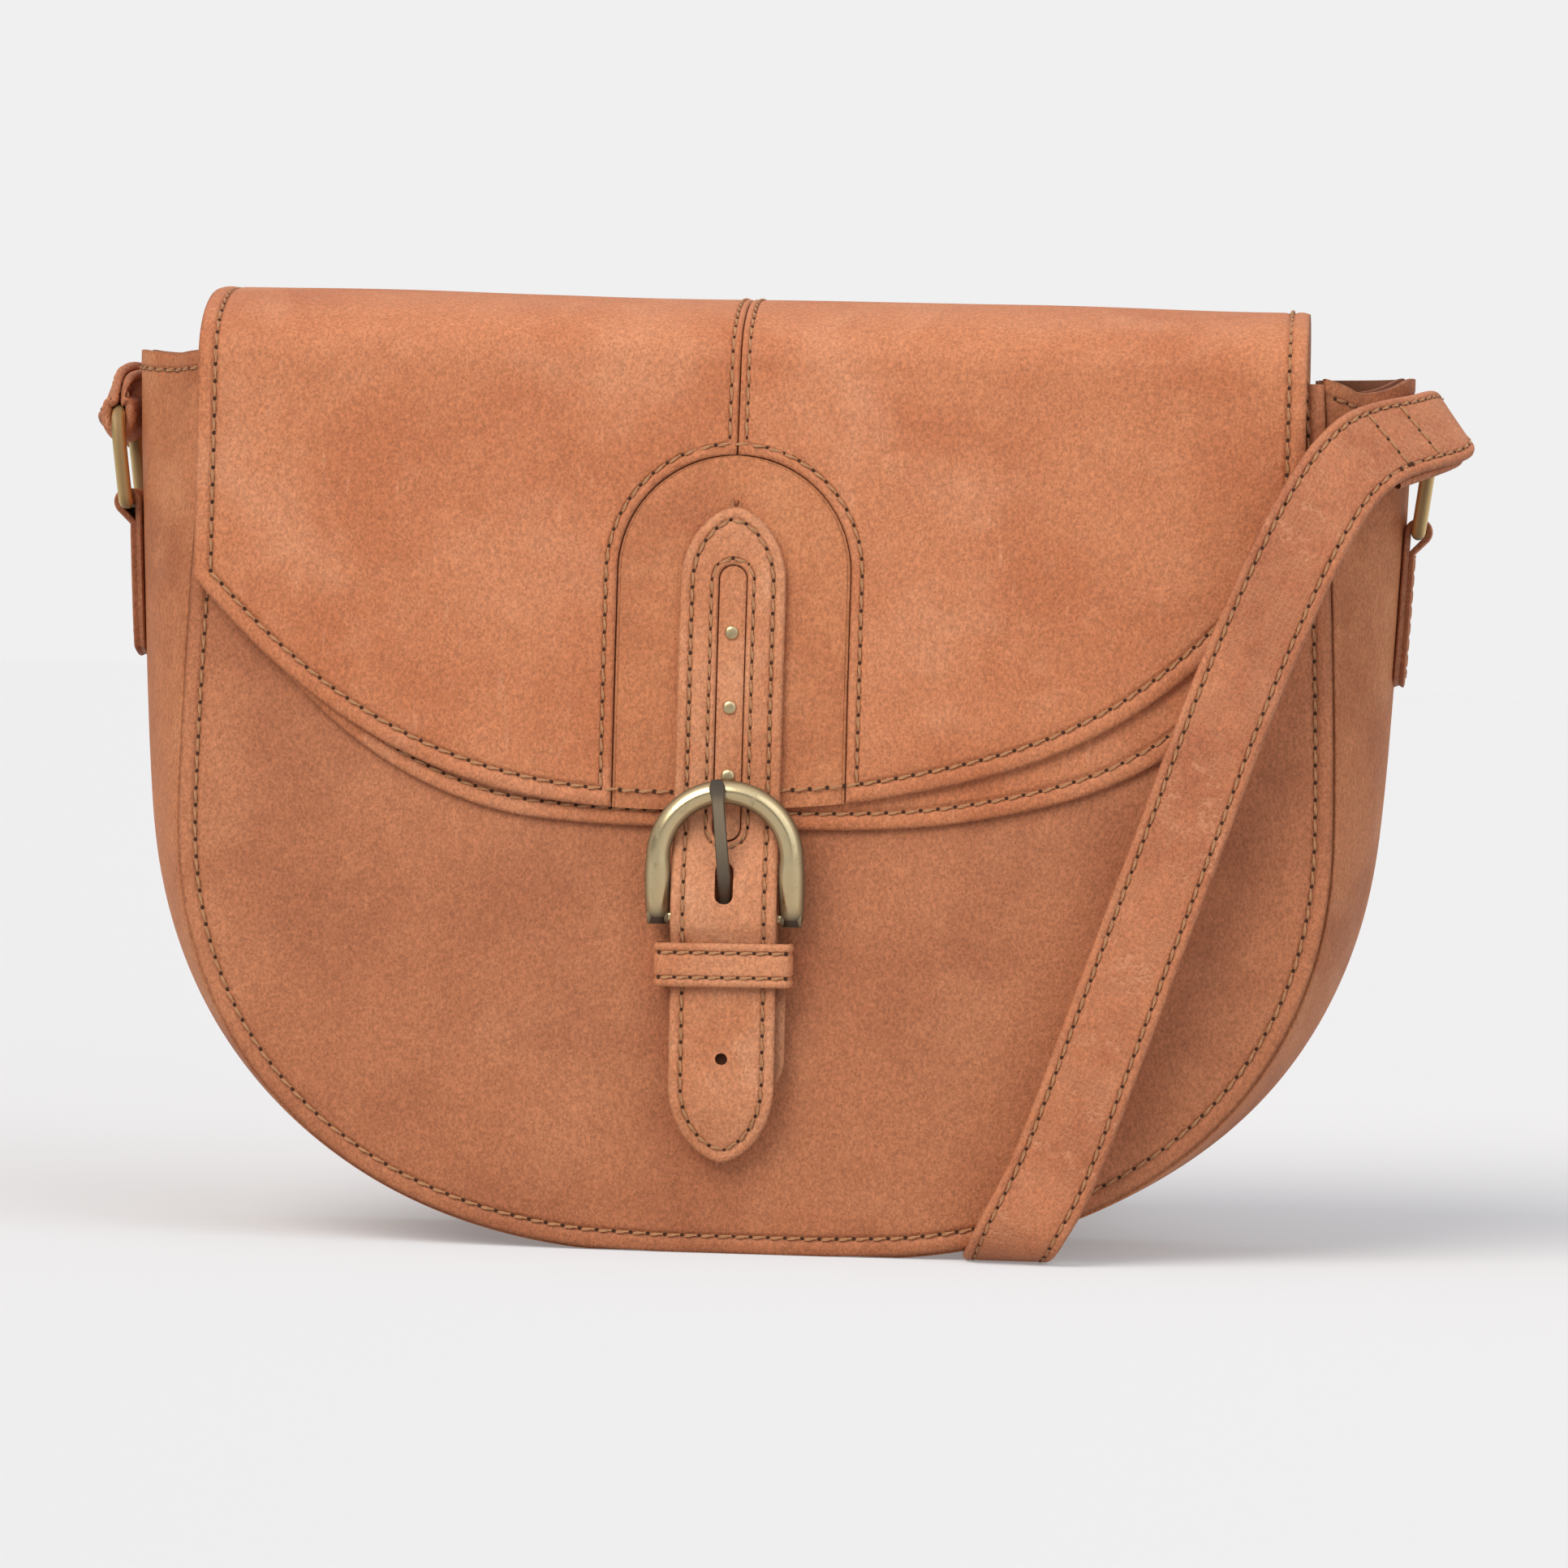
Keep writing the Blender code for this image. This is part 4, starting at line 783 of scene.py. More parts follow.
def gusset_lining_place(column, row):
    share = (2 * column / GUSSET_LINING_CELLS - 1) * LINING_DEPTH_SHARE
    inset = GUSSET_THICKNESS + SEAT_GAP + GUSSET_LINING_GAP + GUSSET_LINING_SAG * share**2
    return gusset_at(*gusset_line[row], share, inset)


gusset_lining = add_piece("gusset_lining_cloth", hide_sheet(
    GUSSET_LINING_CELLS, GUSSET_ROWS, gusset_lining_place, (0, 0, 1), [Vector((0, 0, 0))], False),
    lining_cloth, "bag")
wall(gusset_lining, LINING_THICKNESS, LINING_EDGE)
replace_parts(gusset_lining, "gusset_lining")


# Inner leaf: the second, slightly longer leaf under the flap, of thinner hide. It is sewn in with the
# flap at the back and stitched along its own edge, and tucks in a little at the lower left.

FLAP_SHIFT = -0.0052
FLAP_SET = 0.0022
FLAP_WIDTH = 0.270
FLAP_LIFT = 0.0043
LEAF_WIDTH = 0.264
LEAF_THICKNESS = 0.0014
LEAF_LIFT = 0.0020
LEAF_ROUND = 0.0004
LEAF_EDGE_HEIGHT = 0.104
LEAF_EDGE_RISE = 0.050
LEAF_EDGE_POWER = 3.4
LEAF_TUCK = 0.0095
LEAF_HANG = 0.0042
LEAF_HANG_FROM, LEAF_HANG_TO = 0.055, 0.115
LEAF_SEAM = 0.0040
TUCK_START = 0.055
TUCK_REACH = 0.065
TUCK_POWER = 1.6
ARCH_RISE = 0.0155
ARCH_POWER = 2.4
ARCH_ROWS = 44
FRONT_ROWS = 84
LEAF_CELLS = 104
LEAF_LOWEST = 0.11
SAG_WAVE = 17
flap_middle = FLAP_SHIFT + FLAP_SET


def faded(value, low, high):
    """0 below low, 1 above high and a smooth step between them."""
    t = min(max((value - low) / (high - low), 0), 1)
    return t * t * (3 - 2 * t)


def leaf_edge(x):
    across = abs((x - FLAP_SHIFT) / (LEAF_WIDTH / 2))
    tuck = LEAF_TUCK * max((-x - TUCK_START) / TUCK_REACH, 0) ** TUCK_POWER
    return (LEAF_EDGE_HEIGHT + LEAF_EDGE_RISE * across**LEAF_EDGE_POWER + tuck
            - LEAF_HANG * faded(x, LEAF_HANG_FROM, LEAF_HANG_TO))


def signed_power(value, power):
    return math.copysign(abs(value) ** power, value)


def over_mouth(turn, lift):
    """(y, z) on the arch over the mouth; the turn runs from the back (0) to the front (pi)."""
    power = 2 / ARCH_POWER
    y = (BODY_DEPTH / 2 + lift) * signed_power(math.cos(turn), power)
    return y, FOLD_HEIGHT + (ARCH_RISE + lift) * max(math.sin(turn), 0) ** power


def arch_sag(x, turn):
    """The slack of the flap between its back seam and the front fold."""
    return RIPPLE_DEPTH * math.sin(turn) ** 2 * noise.noise(Vector((x * SAG_WAVE, 2.2, turn)))


drop_shares = [1 - share for share in reversed(graded(FOLD_HEIGHT - LEAF_LOWEST, FRONT_ROWS, both=False))]


def flap_at(x, step, lift, edge):
    """A point of a flap layer: steps up to ARCH_ROWS lie over the mouth, the others in front."""
    if step <= ARCH_ROWS:
        turn = math.pi * step / ARCH_ROWS
        y, z = over_mouth(turn, lift)
        return Vector((x, y, z + arch_sag(x, turn)))
    z = FOLD_HEIGHT + (edge(x) - FOLD_HEIGHT) * drop_shares[step - ARCH_ROWS]
    return Vector((x, front_y(x, z, lift), z))


def leaf_place(column, row):
    x = flap_middle + (2 * leaf_shares[column] - 1) * LEAF_WIDTH / 2
    return flap_at(x, row, LEAF_LIFT, leaf_edge)


def line_between(first, last, count):
    """Values from the first up to the last at even steps, both ends included."""
    return [first + (last - first) * n / count for n in range(count + 1)]


def down_and_along(left, right, edge, inset, lift, step=0.001):
    """A line down the left edge of a flap layer, along its lower edge and up its right edge."""
    def low(x):
        slope = (edge(x + step) - edge(x - step)) / (2 * step)
        return edge(x) + inset * math.sqrt(1 + slope**2)

    def side(x):
        arch = [Vector((x, *over_mouth(turn, lift))) for turn in line_between(0, math.pi, 60)]
        return arch + [Vector((x, front_y(x, z, lift), z)) for z in line_between(FOLD_HEIGHT, low(x), 40)[1:]]

    start, stop = left + inset, right - inset
    foot = [Vector((x, front_y(x, low(x), lift), low(x))) for x in line_between(start, stop, 240)]
    return side(start) + foot[1:-1] + list(reversed(side(stop)))


def flap_normal(lift):
    flat = normal_of(lambda x, z: front_y(x, z, lift))
    reach, rise = BODY_DEPTH / 2 + lift, ARCH_RISE + lift

    def at(place):
        if place.z <= FOLD_HEIGHT:
            return flat(place)
        share_y, share_z = place.y / reach, (place.z - FOLD_HEIGHT) / rise
        return Vector((0, signed_power(share_y, ARCH_POWER - 1) / reach,
                       share_z ** (ARCH_POWER - 1) / rise)).normalized()
    return at


leaf_shares = graded(LEAF_WIDTH, LEAF_CELLS)
leaf_sides = flap_middle - LEAF_WIDTH / 2, flap_middle + LEAF_WIDTH / 2
flap_nubuck = nubuck("cognac_nubuck_flap", "#bf734a", "#ca8056", "#de9d76")
inner_leaf = add_piece("inner_leaf_leather", hide_sheet(
    LEAF_CELLS, ARCH_ROWS + FRONT_ROWS, leaf_place, (0, -1, 1),
    dense(down_and_along(*leaf_sides, leaf_edge, 0, LEAF_LIFT))), flap_nubuck, "flap")
wall(inner_leaf, LEAF_THICKNESS, LEAF_ROUND)
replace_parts(inner_leaf, "inner_leaf")
sew("inner_leaf_seam", down_and_along(*leaf_sides, leaf_edge, LEAF_SEAM, LEAF_LIFT),
    flap_normal(LEAF_LIFT), "flap")


# Flap: a left and a right half of cognac nubuck, joined down the middle by a seam with two rows of
# stitches. An arch is cut out of both halves, and its edge is turned in and stitched.

FLAP_THICKNESS = 0.0020
FLAP_EDGE_HEIGHT = 0.1087
FLAP_EDGE_RISE = 0.061
FLAP_EDGE_POWER = 2.65
FLAP_SKEW = 0.04
CUTOUT_WIDTH = 0.057
CUTOUT_TOP = 0.1947
SEAM_ROW = 0.0020
FLAP_HANG = 0.0052
FLAP_HANG_FROM, FLAP_HANG_TO = 0.038, 0.108
ARCH_SEAM = 0.0026
ARCH_TURN_ROWS = 22
SEAM_END_GAP = 0.0015
SEAM_START = 0.12 * math.pi
HALF_CELLS = 74
SIDES = ((-1, "left"), (1, "right"))
cutout_half = CUTOUT_WIDTH / 2
arch_spring = CUTOUT_TOP - cutout_half
flap_sides = flap_left_x, flap_right_x = flap_middle - FLAP_WIDTH / 2, flap_middle + FLAP_WIDTH / 2


def flap_edge(x):
    """Height of the flap's lower edge: a soft curve, drawn up a little to the right."""
    across = x - FLAP_SHIFT
    rise = FLAP_EDGE_RISE * abs(across / (FLAP_WIDTH / 2)) ** FLAP_EDGE_POWER
    hang = FLAP_HANG * faded(x, FLAP_HANG_FROM, FLAP_HANG_TO)
    return FLAP_EDGE_HEIGHT + rise + FLAP_SKEW * across - hang


def cutout_at(z):
    """Half width of the arch cut-out at height z; 0 above its top."""
    if z <= arch_spring:
        return cutout_half
    return math.sqrt(max(cutout_half**2 - (z - arch_spring) ** 2, 0))


foot_height = flap_edge(FLAP_SHIFT)
foot_shares = graded(arch_spring - foot_height, 40, both=False)
heights_in_front = line_between(FOLD_HEIGHT, CUTOUT_TOP, 10)[:-1]
heights_in_front += [arch_spring + cutout_half * math.cos(turn)
                     for turn in line_between(0, math.pi / 2, ARCH_TURN_ROWS)[:-1]]
heights_in_front += [foot_height + (arch_spring - foot_height) * share for share in reversed(foot_shares)]
flap_drop = [(FOLD_HEIGHT - z) / (FOLD_HEIGHT - foot_height) for z in heights_in_front]
FLAP_ROWS = ARCH_ROWS + len(flap_drop) - 1


def flap_half_at(side, share, step):
    """A point of a flap half; the share runs from the outer edge (0) to the seam or cut-out (1)."""
    outer = flap_left_x if side < 0 else flap_right_x
    seam = FLAP_SHIFT + side * SEAT_GAP / 2
    if step < ARCH_ROWS:
        turn = math.pi * step / ARCH_ROWS
        y, z = over_mouth(turn, FLAP_LIFT)
        x = outer + (seam - outer) * share
        return Vector((x, y, z + arch_sag(x, turn)))
    drop = flap_drop[step - ARCH_ROWS]
    inner = seam
    for _ in range(6):  # the cut-out's width and the row's height settle on each other
        z = FOLD_HEIGHT + (flap_edge(inner) - FOLD_HEIGHT) * drop
        inner = FLAP_SHIFT + side * max(cutout_at(z), SEAT_GAP / 2)
    x = outer + (inner - outer) * share
    z = FOLD_HEIGHT + (flap_edge(x) - FOLD_HEIGHT) * drop
    return Vector((x, front_y(x, z, FLAP_LIFT), z))


def arch_line(offset, lift, foot_inset=0.0):
    """The arch's line, moved outwards by an offset, from its left foot over the top to the right."""
    reach = cutout_half + offset

    def leg(side):
        x = FLAP_SHIFT + side * reach
        return [(x, z) for z in line_between(flap_edge(x) + foot_inset, arch_spring, 40)]

    over = [(FLAP_SHIFT - reach * math.cos(turn), arch_spring + reach * math.sin(turn))
            for turn in line_between(0, math.pi, 60)]
    line = leg(-1)[:-1] + over + list(reversed(leg(1)))[1:]
    return [Vector((x, front_y(x, z, lift), z)) for x, z in line]


half_shares = graded(FLAP_WIDTH / 2, HALF_CELLS)
flap_rim = dense(down_and_along(*flap_sides, flap_edge, 0, FLAP_LIFT))
cutout_rim = dense(arch_line(0, FLAP_LIFT))
middle_rim = [flap_half_at(-1, 1, step) for step in range(ARCH_ROWS + 11)]
for side, word in SIDES:
    def half_place(column, row, side=side):
        return flap_half_at(side, half_shares[column], row)

    half = add_piece("flap_" + word + "_leather", hide_sheet(
        HALF_CELLS, FLAP_ROWS, half_place, (0, -1, 1), flap_rim,
        more=((cutout_rim, ARCH_SEAM), (middle_rim, SEAM_ROW))), flap_nubuck, "flap")
    wall(half, FLAP_THICKNESS)
    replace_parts(half, "flap_" + word)
sew("flap_edge_seam", down_and_along(*flap_sides, flap_edge, STITCH_INSET, FLAP_LIFT),
    flap_normal(FLAP_LIFT), "flap")
sew("arch_cutout_seam", arch_line(ARCH_SEAM, FLAP_LIFT, STITCH_INSET), flap_normal(FLAP_LIFT),
    "flap")
for side, word in SIDES:
    x = FLAP_SHIFT + side * SEAM_ROW
    row = [Vector((x, *over_mouth(turn, FLAP_LIFT))) for turn in line_between(SEAM_START, math.pi, 50)]
    row += [Vector((x, front_y(x, z, FLAP_LIFT), z))
            for z in line_between(FOLD_HEIGHT, CUTOUT_TOP + ARCH_SEAM + SEAM_END_GAP, 12)[1:]]
    sew("middle_seam_" + word, row, flap_normal(FLAP_LIFT), "flap")


# Arch inlay: the smooth panel behind the cut-out, of the same hide, glued to the leaf and caught by
# the arch's stitches.

INLAY_THICKNESS = 0.0010
INLAY_RISE = 0.0006
INLAY_RIM = 0.0006
INLAY_EDGE = 0.0002
INLAY_CELLS = 40
INLAY_TIP = 0.0002
inlay_lift = LEAF_LIFT + SEAT_GAP + INLAY_THICKNESS
inlay_radius = cutout_half - SEAT_GAP
inlay_heights = line_between(FLAP_EDGE_HEIGHT, arch_spring, 44)[:-1]
inlay_heights += [arch_spring + inlay_radius * math.sin(turn) for turn in line_between(0, math.pi / 2, 18)]


def inlay_place(column, row):
    across, z = 2 * column / INLAY_CELLS - 1, inlay_heights[row]
    above = min(max(z - arch_spring, 0), inlay_radius)
    x = FLAP_SHIFT + across * max(math.sqrt(inlay_radius**2 - above**2), INLAY_TIP)
    if z < arch_spring:
        foot = flap_edge(x)
        z = foot + (z - FLAP_EDGE_HEIGHT) * (arch_spring - foot) / (arch_spring - FLAP_EDGE_HEIGHT)
    return Vector((x, front_y(x, z, inlay_lift + INLAY_RISE * math.sqrt(max(1 - across**2, 0))), z))


inlay_nubuck = nubuck("cognac_nubuck_inlay", "#b66e47", "#c67d52", "#d69367", cloud_mm=26.0)
arch_inlay = add_piece("arch_inlay_leather", hide_sheet(
    INLAY_CELLS, len(inlay_heights) - 1, inlay_place, (0, -1, 0), dense(arch_line(-SEAT_GAP, inlay_lift)),
    False, INLAY_RIM), inlay_nubuck, "flap")
wall(arch_inlay, INLAY_THICKNESS, INLAY_EDGE)
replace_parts(arch_inlay, "arch_inlay")


# Flap tail: the flap's sewn root, a doubled strip of its hide along the top of the back panel, with
# stitches all round.

TAIL_HEIGHT = 0.028
TAIL_THICKNESS = 0.004
TAIL_CELLS = 80
TAIL_ROWS = 26
tail_top = FOLD_HEIGHT - SEAT_GAP - FLAP_THICKNESS / 4
tail_shares = graded(FLAP_WIDTH, TAIL_CELLS)
tail_drop = graded(TAIL_HEIGHT, TAIL_ROWS)


def tail_point(x, z):
    return Vector((x, back_face(x, z) + SEAT_GAP + TAIL_THICKNESS, z))


def tail_place(column, row):
    return tail_point(flap_left_x + FLAP_WIDTH * tail_shares[column],
                      tail_top - TAIL_HEIGHT * (1 - tail_drop[row]))


def tail_box_line(inset):
    low, high = tail_top - TAIL_HEIGHT + inset, tail_top - inset
    left, right = flap_left_x + inset, flap_right_x - inset
    corners = ((left, high), (left, low), (right, low), (right, high))
    return [tail_point(at.x, at.z) for at in dense([Vector((x, 0, z)) for x, z in corners], BOX_STEP)]


tail = add_piece("flap_tail_leather", hide_sheet(
    TAIL_CELLS, TAIL_ROWS, tail_place, (0, 1, 0), tail_box_line(0)), flap_nubuck, "bag")
wall(tail, TAIL_THICKNESS)
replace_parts(tail, "flap_tail")
sew("flap_tail_seam", tail_box_line(STITCH_INSET), back_normal, "bag")


# Closure strap: a doubled strap of paler nubuck with pointed ends, a slot and a stitched border. It
# hangs from the flap, rises over the buckle's bar and lies down again in the keeper.

STRAP_WIDTH = 0.0257
STRAP_THICKNESS = 0.0024
STRAP_TIP = 0.0228
STRAP_TOP = 0.182
STRAP_POINT = 0.019
STRAP_POINT_POWER = 2.1
STRAP_POINT_ROUND = 0.6
STRAP_POINT_BLUNT = 0.02
STRAP_FALL = 0.0129
SLOT_TOP = 0.168
SLOT_BOTTOM = 0.101
SLOT_WIDTH = 0.0070
BAR_HEIGHT = 0.0825
BAR_RADIUS = 0.0015
BAR_PLAY = 0.0002
PRONG_WIDTH = 0.0033
PRONG_HOLE_TOP = 0.0961
PRONG_HOLE_FOOT = 0.0858
PRONG_HOLE_PLAY = 0.0006
SPARE_HOLE_HEIGHT = 0.0482
SPARE_HOLE_RADIUS = 0.0015
FRAME_TOP = 0.1158
FRAME_WIRE = 0.0056
KEEPER_TOP = 0.0765
KEEPER_HEIGHT = 0.0108
KEEPER_SLACK = 0.0009
CHAPE_BOTTOM = 0.039
CHAPE_THICKNESS = 0.0024
CHAPE_WALL = 0.00115
SNAP_DISC = 0.0009
STRAP_SEAM = 0.0030
SLOT_SEAM = 0.0016
STRAP_PITCH = 0.0040
STRAP_CELLS = 20
STRAP_ROW = 0.0013
LEAST_ROW = 0.00005
POINT_SHARES = (0, 0.002, 0.006, 0.014, 0.03, 0.06, 0.10, 0.15, 0.21, 0.28, 0.36, 0.45, 0.55, 0.66,
                0.77, 0.88)
# the painted shadow disc under the spare hole: its thickness and how deep it sits
HOLE_SHADOW_THICKNESS = 0.0004
HOLE_SHADOW_SINK = 0.7 * STRAP_THICKNESS
slot_low, slot_high = SLOT_BOTTOM + SLOT_WIDTH / 2, SLOT_TOP - SLOT_WIDTH / 2
strap_rest = inlay_lift + SEAT_GAP
chape_back = 3 * SEAT_GAP + 2 * SNAP_DISC
chape_front = chape_back + CHAPE_THICKNESS
bar_lift = chape_back + CHAPE_WALL + BAR_PLAY + BAR_RADIUS
loop_radius = BAR_RADIUS + BAR_PLAY + CHAPE_WALL
strap_over_bar = bar_lift + loop_radius + SEAT_GAP
strap_in_keeper = chape_front + SEAT_GAP
strap_knots = (
    (STRAP_TIP, strap_in_keeper * 0.55),
    (CHAPE_BOTTOM, strap_in_keeper),
    (KEEPER_TOP - KEEPER_HEIGHT, strap_in_keeper),
    (KEEPER_TOP, strap_in_keeper + KEEPER_SLACK),
    (BAR_HEIGHT - 0.6 * loop_radius, strap_over_bar - 0.1 * loop_radius),
    (BAR_HEIGHT + loop_radius, strap_over_bar),
    (BAR_HEIGHT + STRAP_FALL, strap_over_bar - 0.6 * loop_radius),
    (FRAME_TOP - 1.6 * FRAME_WIRE, strap_rest),
    (STRAP_TOP, strap_rest),
)


def eased(knots, at):
    """A smooth curve through (position, value) knots that never overshoots them."""
    if at <= knots[0][0]:
        return knots[0][1]
    if at >= knots[-1][0]:
        return knots[-1][1]
    index = max(i for i in range(len(knots) - 1) if knots[i][0] <= at)

    def rate(i):
        return (knots[i + 1][1] - knots[i][1]) / (knots[i + 1][0] - knots[i][0])

    def slope(i):
        if i == 0 or i == len(knots) - 1 or rate(i - 1) * rate(i) <= 0:
            return 0
        return 2 * rate(i - 1) * rate(i) / (rate(i - 1) + rate(i))

    (x0, y0), (x1, y1) = knots[index], knots[index + 1]
    span = x1 - x0
    t = (at - x0) / span
    return (y0 * (2 * t**3 - 3 * t**2 + 1) + slope(index) * span * (t**3 - 2 * t**2 + t)
            + y1 * (3 * t**2 - 2 * t**3) + slope(index + 1) * span * (t**3 - t**2))


def strap_outer(z):
    return eased(strap_knots, z) + STRAP_THICKNESS


def strap_half(z):
    """Half width of the strap: two pointed ends with bowed sides."""
    into_point = max(STRAP_TIP + STRAP_POINT - z, z - STRAP_TOP + STRAP_POINT, 0)
    share = (1 - min(into_point / STRAP_POINT, 1) ** STRAP_POINT_POWER) ** STRAP_POINT_ROUND
    return STRAP_WIDTH / 2 * max(share, STRAP_POINT_BLUNT)


strap_openings = (
    (SPARE_HOLE_HEIGHT - SPARE_HOLE_RADIUS, SPARE_HOLE_HEIGHT + SPARE_HOLE_RADIUS, SPARE_HOLE_RADIUS),
    (PRONG_HOLE_FOOT, PRONG_HOLE_TOP, PRONG_WIDTH / 2 + PRONG_HOLE_PLAY),
    (SLOT_BOTTOM, SLOT_TOP, SLOT_WIDTH / 2),
)


def opening_half(z):
    """Half width of the round-ended opening that lies at height z; 0 between the openings."""
    for low, high, half in strap_openings:
        if low < z < high:
            past = min(max(z - high + half, low + half - z, 0), half)
            return math.sqrt(half**2 - past**2)
    return 0.0


def strap_rows():
    """Heights from tip to top, close together at the points and round the ends of each opening."""
    rows = [STRAP_TIP + STRAP_POINT * share for share in POINT_SHARES]
    rows += [STRAP_TOP + STRAP_TIP - z for z in rows]
    for low, high, half in strap_openings:
        for n in (0, 2, 3, 4, 5, 6, 7, 8):
            reach = half * (1 - math.cos(math.pi / 2 * n / 8))
            rows += [low + reach, high - reach]
    rows = sorted(rows)
    filled = [rows[0]]
    for z in rows[1:]:
        gap = z - filled[-1]
        if gap >= LEAST_ROW:
            count = max(1, round(gap / STRAP_ROW))
            filled += [filled[-1] + gap / count * n for n in range(1, count)] + [z]
    return filled


strap_heights = strap_rows()
strap_shares = graded(STRAP_WIDTH / 2, STRAP_CELLS, both=False)


def strap_point(x, z, lift):
    return Vector((FLAP_SHIFT + x, front_y(0, z, lift(z)), z))


def strap_border(inset, step=0.0002):
    """The strap's outline moved inwards by the inset, from the top down the left and up the right."""
    right = []
    for z in line_between(STRAP_TIP, STRAP_TOP, 400):
        slope = (strap_half(z + step) - strap_half(z - step)) / (2 * step)
        length = math.hypot(1, slope)
        x, height = strap_half(z) - inset / length, z + inset * slope / length
        if x > 0 and (not right or height > right[-1][1]):
            right.append((x, height))
    line = [(-x, z) for x, z in reversed(right)] + right
    return [strap_point(x, z, strap_outer) for x, z in line + line[:1]]


def slot_border(offset):
    """The slot's outline moved outwards by the offset."""
    radius = SLOT_WIDTH / 2 + offset
    turns = line_between(0, math.pi, 24)
    line = [(radius, z) for z in line_between(slot_low, slot_high, 60)[:-1]]
    line += [(radius * math.cos(turn), slot_high + radius * math.sin(turn)) for turn in turns]
    line += [(-radius, z) for z in line_between(slot_high, slot_low, 60)[1:]]
    line += [(-radius * math.cos(turn), slot_low - radius * math.sin(turn)) for turn in turns[1:]]
    return [strap_point(x, z, strap_outer) for x, z in line + line[:1]]


def strap_normal(place, step=0.0008):
    low, high = (front_y(0, z, strap_outer(z)) for z in (place.z - step, place.z + step))
    return Vector((0, -1, (high - low) / (2 * step))).normalized()


def two_halves(columns, rows, place):
    """A left and a right grid, welded where they meet; place(side, column, row) gives the points."""
    bm = bmesh.new()
    for side, _ in SIDES:
        corners = shape_grid(bm, columns, rows, lambda column, row: place(side, column, row))
        if side > 0:
            bmesh.ops.reverse_faces(bm, faces=list({face for vert in corners for face in vert.link_faces}))
    bmesh.ops.remove_doubles(bm, verts=bm.verts, dist=WELD)
    return bm


def strap_place(side, column, row):
    z = strap_heights[row]
    outer = strap_half(z)
    inner = min(opening_half(z), outer)
    return strap_point(side * (outer + (inner - outer) * strap_shares[column]), z, strap_outer)


def add_rod(bm, middle, radius, length, segments, axis):
    """Add a short round rod, turned from upright about the given axis, and return its vertices."""
    return bmesh.ops.create_cone(
        bm, cap_ends=True, segments=segments, radius1=radius, radius2=radius, depth=length,
        matrix=Matrix.Translation(middle) @ Matrix.Rotation(math.pi / 2, 4, axis))["verts"]


strap_nubuck = nubuck("cognac_nubuck_strap", "#c67f56", "#d28d64", "#dfa57e", cloud_mm=24.0)
closure_strap = add_piece("closure_strap_leather", roll_edges(
    two_halves(STRAP_CELLS, len(strap_heights) - 1, strap_place), (0, -1, 0),
    ((dense(strap_border(0)), STRAP_SEAM), (dense(slot_border(0)), SLOT_SEAM))),
    strap_nubuck, "flap")
wall(closure_strap, STRAP_THICKNESS)
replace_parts(closure_strap, "closure_strap")
# painted shadow: a dark disc sunk into the strap under the spare hole, so that the hole looks dark
hole_shadow_mesh = bmesh.new()
add_rod(hole_shadow_mesh, strap_point(0, SPARE_HOLE_HEIGHT, lambda z: strap_outer(z) - HOLE_SHADOW_SINK),
        SPARE_HOLE_RADIUS + SEAT_GAP, HOLE_SHADOW_THICKNESS, 24, "X")
add_piece("spare_hole_painted_shadow", hole_shadow_mesh, hole_finish, "flap")
sew("closure_strap_border", strap_border(STRAP_SEAM), strap_normal, "flap", STRAP_PITCH)
sew("closure_strap_slot_row", slot_border(SLOT_SEAM), strap_normal, "flap", STRAP_PITCH)


# Slot inlay: a strip of the same hide glued behind the slot, held by three small brass rivets. The
# brass is rubbed pale where it stands proud and spotted brown where it doesn't.

SLOT_INLAY_THICKNESS = 0.0016
SLOT_INLAY_CROWN = 0.0003
SLOT_INLAY_CELLS = 12
SLOT_INLAY_TIP = 0.0001
RIVET_HEIGHTS = (0.1515, 0.1334, 0.1168)
RIVET_RADIUS = 0.0017
RIVET_CROWN = 0.0008
BRASS_CLOUD_MM = 3.846
BRASS_GRAIN_MM = 0.4545
slot_inlay_radius = SLOT_WIDTH / 2 - SEAT_GAP
round_shares = [math.sin(turn) for turn in line_between(0, math.pi / 2, 10)]
slot_heights = [slot_low - slot_inlay_radius * share for share in reversed(round_shares)]
slot_heights += line_between(slot_low, slot_high, 44)[1:-1]
slot_heights += [slot_high + slot_inlay_radius * share for share in round_shares]


def slot_inlay_place(column, row):
    across, z = 2 * column / SLOT_INLAY_CELLS - 1, slot_heights[row]
    past = min(max(z - slot_high, slot_low - z, 0), slot_inlay_radius)
    half = max(math.sqrt(slot_inlay_radius**2 - past**2), SLOT_INLAY_TIP)
    lift = eased(strap_knots, z) + SLOT_INLAY_THICKNESS + SLOT_INLAY_CROWN * (1 - across**2)
    return Vector((FLAP_SHIFT + across * half, front_y(0, z, lift), z))


slot_inlay = add_piece("slot_inlay_leather", hide_sheet(
    SLOT_INLAY_CELLS, len(slot_heights) - 1, slot_inlay_place, (0, -1, 0), dense(slot_border(0)), False,
    INLAY_RIM), strap_nubuck, "flap")
wall(slot_inlay, SLOT_INLAY_THICKNESS, INLAY_EDGE)
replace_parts(slot_inlay, "slot_inlay")


